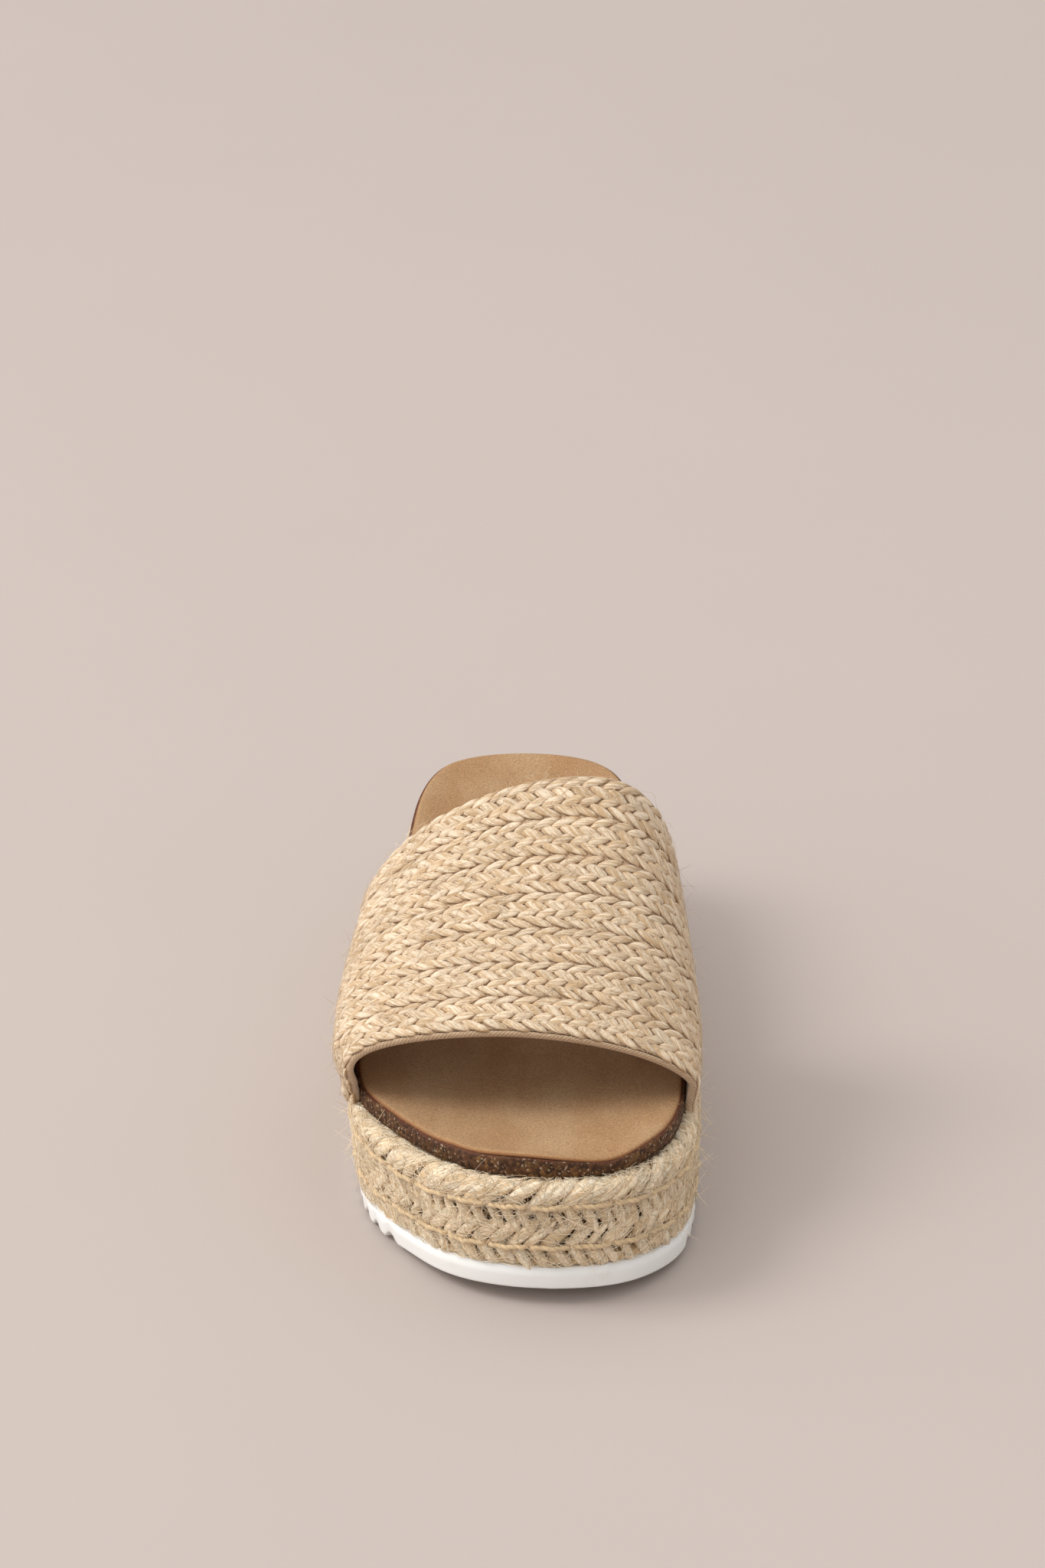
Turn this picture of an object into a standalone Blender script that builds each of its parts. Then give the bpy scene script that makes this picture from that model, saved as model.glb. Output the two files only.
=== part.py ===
"""Espadrille platform slide for the right foot, open at the toe and at the heel.

A white foam outsole with ripple teeth carries a platform wrapped in braided jute. A cork footbed with a
suede insole lies on the platform, and one wide band of seven jute braids arches over the instep, its two
feet standing on the platform's rim beside the cork.

Lengths are in metres. Lateral is the little-toe side (-X), medial is the big-toe side (+X), and the toe
points along -Y. In the tables behind_toe is the distance behind the insole's toe tip.
"""

import bmesh
import bpy
import numpy as np

# Driving dimensions
INSOLE_LENGTH = 0.247
SEAT_GAP = 0.0003
OUTSOLE_THICKNESS = 0.0068
OUTSOLE_EDGE_CHAMFER = 0.0006
TOE_SPRING = 0.0050
SPRING_START = 0.060
TOOTH_PITCH = 0.0077
TOOTH_DEPTH = 0.0022
TOOTH_CREST = 0.0016
TOOTH_VALLEY_SHARE = 0.45
TEETH_START = 0.026
TEETH_END = 0.231
WRAP_HEIGHT_TOE = 0.0252
WRAP_HEIGHT_HEEL = 0.0330
WRAP_RISE_START = 0.040
WRAP_RISE_END = 0.220
CORK_OVER_INSOLE = 0.0005
INSOLE_THICKNESS = 0.0012
STRAP_WALL = 0.0032
STRAP_BRAIDS = 7
OUTSOLE_SHARE = OUTSOLE_THICKNESS / (OUTSOLE_THICKNESS + WRAP_HEIGHT_TOE)

# Counts of sections
SOLE_STATIONS = 40
TOE_STATIONS = 9
HEEL_STATIONS = 8
INSOLE_COLUMNS = 8
STRAP_STATIONS = 37
ARCH_SAMPLES = 60
SIDE_SAMPLES = 20

# Small steps for directions, and the angle from which an edge is shaded as sharp
STATION_STEP = 1e-4
ALONG_STEP = 0.01
SHARP_EDGE_DEG = 40

# Edge of the insole seen from above
OUTLINE = (
    # behind_toe, lateral_x, medial_x
    (0.0000, 0.0073, 0.0073),
    (0.0019, -0.0062, 0.0194),
    (0.0057, -0.0156, 0.0261),
    (0.0125, -0.0242, 0.0320),
    (0.0228, -0.0318, 0.0381),
    (0.0315, -0.0372, 0.0409),
    (0.0440, -0.0423, 0.0431),
    (0.0580, -0.0448, 0.0438),
    (0.0750, -0.0452, 0.0436),
    (0.0970, -0.0436, 0.0418),
    (0.1220, -0.0404, 0.0386),
    (0.1470, -0.0370, 0.0358),
    (0.1720, -0.0344, 0.0342),
    (0.1900, -0.0331, 0.0335),
    (0.2085, -0.0315, 0.0326),
    (0.2220, -0.0294, 0.0309),
    (0.2320, -0.0264, 0.0280),
    (0.2402, -0.0212, 0.0224),
    (0.2470, 0.0005, 0.0005),
)

# Ledge: how far the platform's top stands out past the insole. Taper: how far its foot stands back from
# that. Rise: insole edge above the platform's top. Cup: middle of the insole below its edges.
LEVELS = (
    # behind_toe, lateral_ledge, medial_ledge, lateral_taper, medial_taper, lateral_rise, medial_rise, cup
    (0.000, 0.0046, 0.0046, 0.0010, 0.0008, 0.0055, 0.0055, 0.0000),
    (0.012, 0.0036, 0.0052, 0.0026, -0.0004, 0.0056, 0.0056, 0.0006),
    (0.030, 0.0032, 0.0050, 0.0029, 0.0000, 0.0057, 0.0057, 0.0014),
    (0.060, 0.0032, 0.0048, 0.0029, 0.0006, 0.0062, 0.0062, 0.0022),
    (0.100, 0.0036, 0.0046, 0.0026, 0.0008, 0.0066, 0.0078, 0.0026),
    (0.150, 0.0036, 0.0042, 0.0020, 0.0012, 0.0074, 0.0104, 0.0034),
    (0.200, 0.0034, 0.0040, 0.0016, 0.0014, 0.0088, 0.0094, 0.0042),
    (0.232, 0.0036, 0.0038, 0.0014, 0.0014, 0.0090, 0.0090, 0.0020),
    (0.247, 0.0040, 0.0040, 0.0014, 0.0014, 0.0090, 0.0090, 0.0000),
)
LEVEL_COLUMNS = {
    "lateral_ledge": 1,
    "medial_ledge": 2,
    "lateral_taper": 3,
    "medial_taper": 4,
    "lateral_rise": 5,
    "medial_rise": 6,
    "cup": 7,
}

# Side of the platform: two braids, each of two rows, with a groove at every row's edge
WRAP_PROFILE = (
    # height_share, groove_depth
    (0.00, 0.0010),
    (0.08, 0.0002),
    (0.17, 0.0002),
    (0.25, 0.0012),
    (0.33, 0.0002),
    (0.42, 0.0002),
    (0.50, 0.0009),
    (0.58, 0.0002),
    (0.67, 0.0002),
    (0.75, 0.0012),
    (0.83, 0.0001),
    (0.93, 0.0004),
    (1.00, 0.0019),
)

# Band over the instep: the crest of its arch and the places of its two feet, front edge to back edge
STRAP_ARCH = (
    # along, crest_x, crest_behind_toe, crest_z, lateral_foot, medial_foot
    (0.00, -0.0070, 0.0370, 0.0625, 0.0540, 0.0450),
    (0.33, 0.0030, 0.0645, 0.0725, 0.0760, 0.0740),
    (0.67, 0.0110, 0.0915, 0.0850, 0.0990, 0.1040),
    (1.00, 0.0165, 0.1165, 0.1010, 0.1220, 0.1340),
)

# Sides of the band: how far they swell past their feet, how square the shoulders are (2 is an ellipse),
# and how far above the feet the band is widest
STRAP_SIDES = (
    # along, lateral_flare, medial_flare, lateral_square, medial_square, widest_height
    (0.00, 0.0040, 0.0012, 2.2, 1.75, 0.009),
    (0.50, 0.0026, 0.0022, 2.0, 2.3, 0.014),
    (1.00, 0.0014, 0.0034, 1.8, 2.55, 0.020),
)

# Outer face of one braid of the band, from its front groove to just before the next
BRAID_PROFILE = (
    # width_share, groove_depth
    (0.00, 0.0010),
    (0.25, 0.0002),
    (0.50, 0.0003),
    (0.75, 0.0002),
)

# Finishes
MATERIALS = {
    # node: red, green, blue, roughness
    "outsole": (0.86, 0.86, 0.85, 0.55),
    "midsole": (0.58, 0.46, 0.31, 0.90),
    "footbed": (0.072, 0.034, 0.018, 0.80),
    "insole": (0.52, 0.31, 0.165, 0.85),
    "upper": (0.66, 0.51, 0.32, 0.85),
}


def curve_through(rows, column, at):
    """Natural cubic curve through one column of a table whose first column is the place along it."""
    table = np.asarray(rows, float)
    places = table[:, 0]
    values = table[:, column]
    at = np.asarray(at, float)
    steps = np.diff(places)
    slopes = np.diff(values) / steps
    system = np.eye(len(places))
    target = np.zeros(len(places))
    inner = np.arange(1, len(places) - 1)
    system[inner, inner - 1] = steps[:-1]
    system[inner, inner] = 2 * (steps[:-1] + steps[1:])
    system[inner, inner + 1] = steps[1:]
    target[inner] = 6 * np.diff(slopes)
    bend = np.linalg.solve(system, target)
    cell = np.clip(np.searchsorted(places, at) - 1, 0, len(steps) - 1)
    width = steps[cell]
    before = (places[cell + 1] - at) / width
    after = (at - places[cell]) / width
    straight = before * values[cell] + after * values[cell + 1]
    curved = (before**3 - before) * bend[cell] + (after**3 - after) * bend[cell + 1]
    return straight + curved * width**2 / 6


def station_of(behind_toe):
    """Stations run from 0 at the toe to 1 at the heel and crowd at both ends, where the outline turns."""
    share = np.clip(np.asarray(behind_toe, float) / INSOLE_LENGTH, 0, 1)
    return np.arccos(1 - 2 * share) / np.pi


def behind_toe_of(station):
    return INSOLE_LENGTH * (1 - np.cos(np.pi * np.asarray(station, float))) / 2


STATION_OUTLINE = [(float(station_of(place)), lateral, medial) for place, lateral, medial in OUTLINE]


def lateral_edge(station):
    return curve_through(STATION_OUTLINE, 1, station)


def medial_edge(station):
    return curve_through(STATION_OUTLINE, 2, station)


def level(name, behind_toe):
    return curve_through(LEVELS, LEVEL_COLUMNS[name], behind_toe)


def ease(share):
    share = np.clip(share, 0, 1)
    return share * share * (3 - 2 * share)


def spring(behind_toe):
    """Height of the sole's underside: flat from the ball back, and curving up to the toe."""
    ahead = np.clip((SPRING_START - np.asarray(behind_toe, float)) / SPRING_START, 0, None)
    return TOE_SPRING * ahead**2


def wrap_bottom(behind_toe):
    return spring(behind_toe) + OUTSOLE_THICKNESS + SEAT_GAP


def wrap_top(behind_toe):
    share = ease((np.asarray(behind_toe, float) - WRAP_RISE_START) / (WRAP_RISE_END - WRAP_RISE_START))
    return wrap_bottom(behind_toe) + WRAP_HEIGHT_TOE + (WRAP_HEIGHT_HEEL - WRAP_HEIGHT_TOE) * share


def around(medial_values, lateral_values):
    """Values in ring order: toe to heel along the medial side, then back along the lateral side."""
    return np.concatenate([medial_values, lateral_values[-2:0:-1]])


def ring(stations, medial_offset, lateral_offset):
    """Closed loop at a distance outside the insole's edge, as rows of x and behind_toe."""
    def place(signed):
        past_heel = np.abs(signed) > 1
        folded = np.where(past_heel, 2 - np.abs(signed), np.abs(signed))
        on_medial = (signed >= 0) ^ past_heel
        x = np.where(on_medial, medial_edge(folded), lateral_edge(folded))
        return np.stack([x, behind_toe_of(folded)], -1)

    signed = around(stations, -stations)
    along = place(signed + STATION_STEP) - place(signed - STATION_STEP)
    along /= np.linalg.norm(along, axis=1, keepdims=True)
    outwards = np.stack([along[:, 1], -along[:, 0]], -1)
    flat = np.ones(len(stations))
    offset = around(medial_offset * flat, lateral_offset * flat)
    return place(signed) + outwards * offset[:, None]


def wall_ring(stations, height_share, depth):
    """Ring on the platform's side. Height share is 0 at the floor and 1 at the platform's top."""
    behind_toe = behind_toe_of(stations)
    below = 1 - height_share
    medial = level("medial_ledge", behind_toe) - level("medial_taper", behind_toe) * below
    lateral = level("lateral_ledge", behind_toe) - level("lateral_taper", behind_toe) * below
    return ring(stations, medial - depth, lateral - depth)


def sheet(lateral, medial, columns, sag):
    """Points across a slab between its two edges, each row sagging by 4 * sag * w * (1 - w)."""
    across = np.linspace(0, 1, columns + 1)[1:-1, None]
    rows = lateral[:, None, :] * (1 - across) + medial[:, None, :] * across
    rows[..., 2] -= sag[:, None] * (4 * across * (1 - across))[:, 0]
    return rows


def slab(rings, bottom_columns, top_columns, bottom_sag, top_sag):
    """Closed solid from rings, lowest first, with ladder-like sheets across its underside and its top."""
    count = len(rings[0])
    last = count // 2
    points = [np.concatenate(rings)]
    total = len(points[0])
    faces = []
    for step in range(len(rings) - 1):
        for place in range(count):
            after = (place + 1) % count
            low, high = step * count, (step + 1) * count
            faces.append((low + place, low + after, high + after, high + place))
    medial = np.arange(last + 1)
    lateral = (count - medial) % count
    sheets = ((0, bottom_columns, bottom_sag), (len(rings) - 1, top_columns, top_sag))
    for edge, columns, sag in sheets:
        loop = rings[edge]
        grid = np.zeros((last + 1, columns + 1), int)
        grid[:] = edge * count + medial[:, None]
        grid[:, 0] = edge * count + lateral
        inner = sheet(loop[lateral[1:-1]], loop[medial[1:-1]], columns, sag[1:-1])
        size = (last - 1) * (columns - 1)
        grid[1:-1, 1:-1] = total + np.arange(size).reshape(last - 1, columns - 1)
        points.append(inner.reshape(-1, 3))
        total += size
        for row in range(last):
            for column in range(columns):
                here = grid[row, column : column + 2]
                there = grid[row + 1, column : column + 2]
                corners = np.concatenate([here, there[::-1]]).tolist()
                faces.append(tuple(dict.fromkeys(corners)))
    return np.concatenate(points), faces


def raised(loop, heights):
    return np.column_stack([loop, heights])


def outsole():
    """Foam slab with ripple teeth across its underside; toe and heel ends are left smooth."""
    teeth = int((TEETH_END - TEETH_START) / TOOTH_PITCH)
    toe = np.linspace(0, station_of(TEETH_START), TOE_STATIONS, endpoint=False)
    start = TEETH_START + TOOTH_PITCH * np.arange(teeth)
    valley = start + TOOTH_PITCH * TOOTH_VALLEY_SHARE
    crest = start + TOOTH_PITCH - TOOTH_CREST
    heel = np.linspace(station_of(TEETH_START + TOOTH_PITCH * teeth), 1, HEEL_STATIONS)
    middle = station_of(np.stack([start, valley, crest], -1).ravel())
    stations = np.concatenate([toe, middle, heel])
    cut = np.concatenate([0 * toe, np.tile([0.0, TOOTH_DEPTH, 0.0], teeth), 0 * heel])
    behind_toe = behind_toe_of(stations)
    floor = around(spring(behind_toe), spring(behind_toe))
    under = floor + around(cut, cut)
    chamfer = OUTSOLE_EDGE_CHAMFER
    rings = [
        raised(wall_ring(stations, 0.0, chamfer), under),
        raised(wall_ring(stations, 0.0, 0.0), under + chamfer),
        raised(wall_ring(stations, OUTSOLE_SHARE, 0.0), floor + OUTSOLE_THICKNESS),
    ]
    flat = np.zeros(len(stations))
    return slab(rings, 1, 1, flat, flat)


def midsole():
    """Platform wrapped in two jute braids, which stand out as four rounded rows along its side."""
    stations = np.linspace(0, 1, SOLE_STATIONS + 1)
    behind_toe = behind_toe_of(stations)
    low = wrap_bottom(behind_toe)
    high = wrap_top(behind_toe)
    rings = []
    for height_share, depth in WRAP_PROFILE:
        heights = low + (high - low) * height_share
        loop = wall_ring(stations, OUTSOLE_SHARE + (1 - OUTSOLE_SHARE) * height_share, depth)
        rings.append(raised(loop, around(heights, heights)))
    flat = np.zeros(len(stations))
    return slab(rings, 1, 1, flat, flat)


def insole_edge_heights(behind_toe):
    base = wrap_top(behind_toe)
    return around(base + level("medial_rise", behind_toe), base + level("lateral_rise", behind_toe))


def footbed():
    """Cork layer on the platform, with a cupped top that the insole lies in."""
    stations = np.linspace(0, 1, SOLE_STATIONS + 1)
    behind_toe = behind_toe_of(stations)
    loop = ring(stations, CORK_OVER_INSOLE, CORK_OVER_INSOLE)
    base = wrap_top(behind_toe)
    rings = [
        raised(loop, around(base, base) + SEAT_GAP),
        raised(loop, insole_edge_heights(behind_toe) - INSOLE_THICKNESS - SEAT_GAP),
    ]
    return slab(rings, 1, INSOLE_COLUMNS, np.zeros(len(stations)), level("cup", behind_toe))


def insole():
    """Suede sock on the cork, of one thickness all over."""
    stations = np.linspace(0, 1, SOLE_STATIONS + 1)
    behind_toe = behind_toe_of(stations)
    loop = ring(stations, 0.0, 0.0)
    top = insole_edge_heights(behind_toe)
    rings = [raised(loop, top - INSOLE_THICKNESS), raised(loop, top)]
    cup = level("cup", behind_toe)
    return slab(rings, INSOLE_COLUMNS, INSOLE_COLUMNS, cup, cup)


def strap_section(along):
    """One arch of the band's outer face, from its lateral foot to its medial foot in equal steps.

    Above its widest height each side is a superellipse quarter from the crest. Below it the side eases
    in to its foot. behind_toe runs from the crest's place to the foot's in step with the drop in height.
    """
    columns = range(1, len(STRAP_ARCH[0]))
    crest_x, crest_place, crest_z, *feet = (curve_through(STRAP_ARCH, column, along) for column in columns)
    columns = range(1, len(STRAP_SIDES[0]))
    *sides, widest = (curve_through(STRAP_SIDES, column, along) for column in columns)
    flares, squares = sides[:2], sides[2:]
    angle = np.linspace(0, np.pi / 2, ARCH_SAMPLES)
    drop = np.linspace(0, 1, SIDE_SAMPLES)[1:]
    halves = []
    for foot, flare, square, edge, sign in (
        (feet[0], flares[0], squares[0], lateral_edge, -1),
        (feet[1], flares[1], squares[1], medial_edge, 1),
    ):
        foot_x = edge(station_of(foot)) + sign * (CORK_OVER_INSOLE + SEAT_GAP + STRAP_WALL)
        foot_z = wrap_top(foot) + SEAT_GAP
        wide_x = foot_x + sign * flare
        wide_z = foot_z + widest
        arch_x = crest_x + (wide_x - crest_x) * np.sin(angle) ** (2 / square)
        arch_z = wide_z + (crest_z - wide_z) * np.abs(np.cos(angle)) ** (2 / square)
        x = np.concatenate([arch_x, wide_x + (foot_x - wide_x) * ease(drop)])
        z = np.concatenate([arch_z, wide_z + (foot_z - wide_z) * drop])
        place = crest_place + (foot - crest_place) * (crest_z - z) / (crest_z - foot_z)
        halves.append(np.stack([x, place, z], -1))
    path = np.concatenate([halves[0][:0:-1], halves[1]])
    run = np.concatenate([[0], np.cumsum(np.linalg.norm(np.diff(path, axis=0), axis=1))])
    steps = np.linspace(0, run[-1], STRAP_STATIONS)
    return np.stack([np.interp(steps, run, path[:, axis]) for axis in range(3)], -1)


def strap_line(along, depth):
    """Line across the band at a depth under its outer face, measured along that face's normal."""
    here = strap_section(along)
    across = np.gradient(here, axis=0)
    backwards = strap_section(along + ALONG_STEP) - strap_section(along - ALONG_STEP)
    normal = np.cross(across, backwards)
    normal /= np.linalg.norm(normal, axis=1, keepdims=True)
    return here - depth * normal


def upper():
    """Hollow band: a closed profile of seven raised braids and a smooth inner face, carried over the arch."""
    profile = []
    for braid in range(STRAP_BRAIDS):
        profile += [((braid + share) / STRAP_BRAIDS, depth) for share, depth in BRAID_PROFILE]
    profile.append((1.0, BRAID_PROFILE[0][1]))
    profile += [(braid / STRAP_BRAIDS, STRAP_WALL) for braid in range(STRAP_BRAIDS, -1, -1)]
    lines = np.array([strap_line(along, depth) for along, depth in profile])
    count = len(profile)
    points = lines.transpose(1, 0, 2).reshape(-1, 3)
    faces = []
    for station in range(STRAP_STATIONS - 1):
        for place in range(count):
            after = (place + 1) % count
            here, there = station * count, (station + 1) * count
            faces.append((here + place, here + after, there + after, there + place))
    faces.append(tuple(range(count)))
    faces.append(tuple(range(len(points) - count, len(points))))
    return points, faces


def finish(name):
    material = bpy.data.materials.new(name)
    material.use_nodes = True
    red, green, blue, roughness = MATERIALS[name]
    shader = material.node_tree.nodes["Principled BSDF"]
    shader.inputs["Base Color"].default_value = (red, green, blue, 1.0)
    shader.inputs["Roughness"].default_value = roughness
    shader.inputs["Metallic"].default_value = 0.0
    material.diffuse_color = (red, green, blue, 1.0)
    return material


def add_object(name, points, faces, collection):
    mesh = bpy.data.meshes.new(name)
    mesh.from_pydata(points.tolist(), [], faces)
    body = bmesh.new()
    body.from_mesh(mesh)
    bmesh.ops.recalc_face_normals(body, faces=body.faces)
    body.to_mesh(mesh)
    body.free()
    mesh.shade_smooth()
    mesh.set_sharp_from_angle(angle=np.radians(SHARP_EDGE_DEG))
    mesh.materials.append(finish(name))
    collection.objects.link(bpy.data.objects.new(name, mesh))


def main():
    for old in list(bpy.data.objects):
        bpy.data.objects.remove(old, do_unlink=True)
    collection = bpy.data.collections.new("espadrille_platform_slide")
    bpy.context.scene.collection.children.link(collection)
    solids = {make.__name__: make() for make in (outsole, midsole, footbed, insole, upper)}
    everything = np.concatenate([points for points, _ in solids.values()])
    lowest = everything.min(axis=0)
    highest = everything.max(axis=0)
    origin = np.array([(lowest[0] + highest[0]) / 2, (lowest[1] + highest[1]) / 2, lowest[2]])
    for name, (points, faces) in solids.items():
        add_object(name, points - origin, faces, collection)


main()
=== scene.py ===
"""Looks of a jute espadrille platform slide for the right foot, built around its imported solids.

Lengths are in metres. Lateral is the little-toe side (-X), medial is the big-toe side (+X), and the toe
points along -Y. behind_toe is the distance behind the insole's toe tip, and a turn runs round the sole:
0 at the toe, 1 at the heel by the medial side, and 2 at the toe again by the lateral side.
"""

import bpy
import numpy as np
from bpy.props import FloatProperty, FloatVectorProperty, IntProperty, PointerProperty
from bpy.types import Operator, Panel, PropertyGroup
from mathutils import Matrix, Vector


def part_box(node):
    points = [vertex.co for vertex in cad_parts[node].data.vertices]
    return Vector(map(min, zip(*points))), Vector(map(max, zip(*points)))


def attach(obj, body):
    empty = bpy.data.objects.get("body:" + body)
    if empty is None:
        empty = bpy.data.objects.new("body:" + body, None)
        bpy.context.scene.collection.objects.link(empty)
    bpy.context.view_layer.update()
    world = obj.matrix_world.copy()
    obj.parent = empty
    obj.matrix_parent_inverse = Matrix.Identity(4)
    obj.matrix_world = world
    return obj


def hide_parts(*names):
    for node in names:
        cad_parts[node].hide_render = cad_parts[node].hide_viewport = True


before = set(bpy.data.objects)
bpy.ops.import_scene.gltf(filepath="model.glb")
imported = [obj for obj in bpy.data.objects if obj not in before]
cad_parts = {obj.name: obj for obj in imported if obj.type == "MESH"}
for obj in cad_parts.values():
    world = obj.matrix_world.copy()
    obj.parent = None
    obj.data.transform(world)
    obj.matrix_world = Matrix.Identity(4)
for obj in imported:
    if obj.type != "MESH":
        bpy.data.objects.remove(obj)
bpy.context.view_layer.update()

bl_info = {
    "name": "Espadrille platform slide",
    "version": (1, 0, 0),
    "blender": (4, 5, 0),
    "location": "View3D > Sidebar > Espadrille",
    "description": "Braided jute band, wrapped platform, cork footbed and suede sock of a slide",
    "category": "Add Mesh",
}

BODY = "root"

# Sizes that the solids are built from
INSOLE_LENGTH = 0.247
SEAT_GAP = 0.0003
OUTSOLE_THICKNESS = 0.0068
TOE_SPRING = 0.0050
SPRING_START = 0.060
TOOTH_PITCH = 0.0077
TOOTH_DEPTH = 0.0022
TOOTH_CREST = 0.0016
TOOTH_VALLEY_SHARE = 0.45
TEETH_START = 0.026
TEETH_END = 0.231
WRAP_HEIGHT_TOE = 0.0252
WRAP_HEIGHT_HEEL = 0.0330
WRAP_RISE_START = 0.040
WRAP_RISE_END = 0.220
CORK_OVER_INSOLE = 0.0005
INSOLE_THICKNESS = 0.0012
STRAP_WALL = 0.0032
STRAP_BRAIDS = 7
OUTSOLE_SHARE = OUTSOLE_THICKNESS / (OUTSOLE_THICKNESS + WRAP_HEIGHT_TOE)
SOLE_STATIONS = 40

# Rounded lower edge of the outsole and its rings, and stations before and behind the teeth
OUTSOLE_ROUND = 0.0009
OUTSOLE_ROUND_RINGS = 5
OUTSOLE_TOE_STATIONS = 24
OUTSOLE_HEEL_STATIONS = 20

# One tooth of the outsole: places along its pitch, and the share of TOOTH_DEPTH cut away there
TOOTH_SIDE = (
    # phase, cut
    (0.00, 0.00),
    (0.12, 0.22),
    (0.27, 0.72),
    (TOOTH_VALLEY_SHARE, 1.00),
    (0.55, 0.86),
    (0.68, 0.42),
    (1 - TOOTH_CREST / TOOTH_PITCH, 0.00),
)

# Side of the cork: share of its height, and how far it stands out past its rim
CORK_SIDE = ((0.0, 0.0004), (0.35, 0.0006), (0.7, 0.0006), (0.9, 0.0004), (1.0, 0.0))

# Edge of the suede: share of its thickness below the top, and how far it stands in from the insole's outline
SUEDE_EDGE = ((1.0, 0.0004), (0.75, 0.0), (0.45, 0.0), (0.18, 0.0003), (0.03, 0.0009), (0.0, 0.0016))

# Edge of the insole seen from above
OUTLINE = (
    # behind_toe, lateral_x, medial_x
    (0.0000, 0.0073, 0.0073),
    (0.0019, -0.0062, 0.0194),
    (0.0057, -0.0156, 0.0261),
    (0.0125, -0.0242, 0.0320),
    (0.0228, -0.0318, 0.0381),
    (0.0315, -0.0372, 0.0409),
    (0.0440, -0.0423, 0.0431),
    (0.0580, -0.0448, 0.0438),
    (0.0750, -0.0452, 0.0436),
    (0.0970, -0.0436, 0.0418),
    (0.1220, -0.0404, 0.0386),
    (0.1470, -0.0370, 0.0358),
    (0.1720, -0.0344, 0.0342),
    (0.1900, -0.0331, 0.0335),
    (0.2085, -0.0315, 0.0326),
    (0.2220, -0.0294, 0.0309),
    (0.2320, -0.0264, 0.0280),
    (0.2402, -0.0212, 0.0224),
    (0.2470, 0.0005, 0.0005),
)

# Ledge: how far the platform's top stands out past the insole. Taper: how far its foot stands back from
# that. Rise: insole edge above the platform's top. Cup: middle of the insole below its edges.
LEVELS = (
    # behind_toe, lateral_ledge, medial_ledge, lateral_taper, medial_taper, lateral_rise, medial_rise, cup
    (0.000, 0.0046, 0.0046, 0.0010, 0.0008, 0.0055, 0.0055, 0.0000),
    (0.012, 0.0036, 0.0052, 0.0026, -0.0004, 0.0056, 0.0056, 0.0006),
    (0.030, 0.0032, 0.0050, 0.0029, 0.0000, 0.0057, 0.0057, 0.0014),
    (0.060, 0.0032, 0.0048, 0.0029, 0.0006, 0.0062, 0.0062, 0.0022),
    (0.100, 0.0036, 0.0046, 0.0026, 0.0008, 0.0066, 0.0078, 0.0026),
    (0.150, 0.0036, 0.0042, 0.0020, 0.0012, 0.0074, 0.0104, 0.0034),
    (0.200, 0.0034, 0.0040, 0.0016, 0.0014, 0.0088, 0.0094, 0.0042),
    (0.232, 0.0036, 0.0038, 0.0014, 0.0014, 0.0090, 0.0090, 0.0020),
    (0.247, 0.0040, 0.0040, 0.0014, 0.0014, 0.0090, 0.0090, 0.0000),
)
LEVEL_COLUMNS = {
    "lateral_ledge": 1,
    "medial_ledge": 2,
    "lateral_taper": 3,
    "medial_taper": 4,
    "lateral_rise": 5,
    "medial_rise": 6,
    "cup": 7,
}

# Band over the instep: the crest of its arch and the places of its two feet, front edge to back edge
STRAP_ARCH = (
    # along, crest_x, crest_behind_toe, crest_z, lateral_foot, medial_foot
    (0.00, -0.0070, 0.0370, 0.0625, 0.0540, 0.0450),
    (0.33, 0.0030, 0.0645, 0.0725, 0.0760, 0.0740),
    (0.67, 0.0110, 0.0915, 0.0850, 0.0990, 0.1040),
    (1.00, 0.0165, 0.1165, 0.1010, 0.1220, 0.1340),
)

# Sides of the band: how far they swell past their feet, how square the shoulders are (2 is an ellipse),
# and how far above the feet the band is widest
STRAP_SIDES = (
    # along, lateral_flare, medial_flare, lateral_square, medial_square, widest_height
    (0.00, 0.0040, 0.0012, 2.2, 1.75, 0.009),
    (0.50, 0.0026, 0.0022, 2.0, 2.3, 0.014),
    (1.00, 0.0014, 0.0034, 1.8, 2.55, 0.020),
)

# Height of the stitch cord along the middle of each of the platform's two plaits, as a share of the side
STITCH_LINES = {"upper": 0.725, "lower": 0.240}

# Slits between strands where the wrap gapes at the toe: distances from the toe tip round the sole, negative
# on the lateral side, how far a slit reaches, and the share of a strand's width that it takes
UPPER_SLITS = (-0.0305, -0.0172, -0.0125, -0.0044, 0.0030, 0.0310)
LOWER_SLITS = (0.0130,)
FOOT_SLITS = (-0.0050, 0.0205)
SLIT_REACH = 0.0024
SLIT_DEPTH = 0.42

# Rows of leaves in the platform's two plaits: leaves round the sole, share of the height at a leaf's start,
# middle and end, half of its run, width share, looseness, raggedness, and slits
WRAP_ROWS = {
    "upper": (
        (118, (0.60, 0.91, 1.26), 0.0080, 1.10, 0.03, 0.0, ()),
        (136, (0.77, 0.57, 0.35), 0.0029, 0.97, 0.18, 0.0, UPPER_SLITS),
    ),
    "lower": (
        (118, (0.17, 0.37, 0.56), 0.0046, 1.02, 0.10, 0.0, LOWER_SLITS),
        (120, (0.32, 0.13, -0.02), 0.0034, 1.03, 0.14, 0.070, FOOT_SLITS),
    ),
}

# Rows of leaves in one half of a flat plait; the other half is the same, mirrored and half a pitch on.
# A leaf's start, middle and end are in pitches along the plait and in half widths across it.
LEAF_ROWS = (
    # shift_along, along, across, width_share
    (0.00, (-0.68, 0.00, 0.68), (-0.51, -0.20, 0.11), 1.00),
    (0.10, (-0.76, 0.00, 0.80), (0.32, 0.70, 0.93), 0.86),
)

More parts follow.
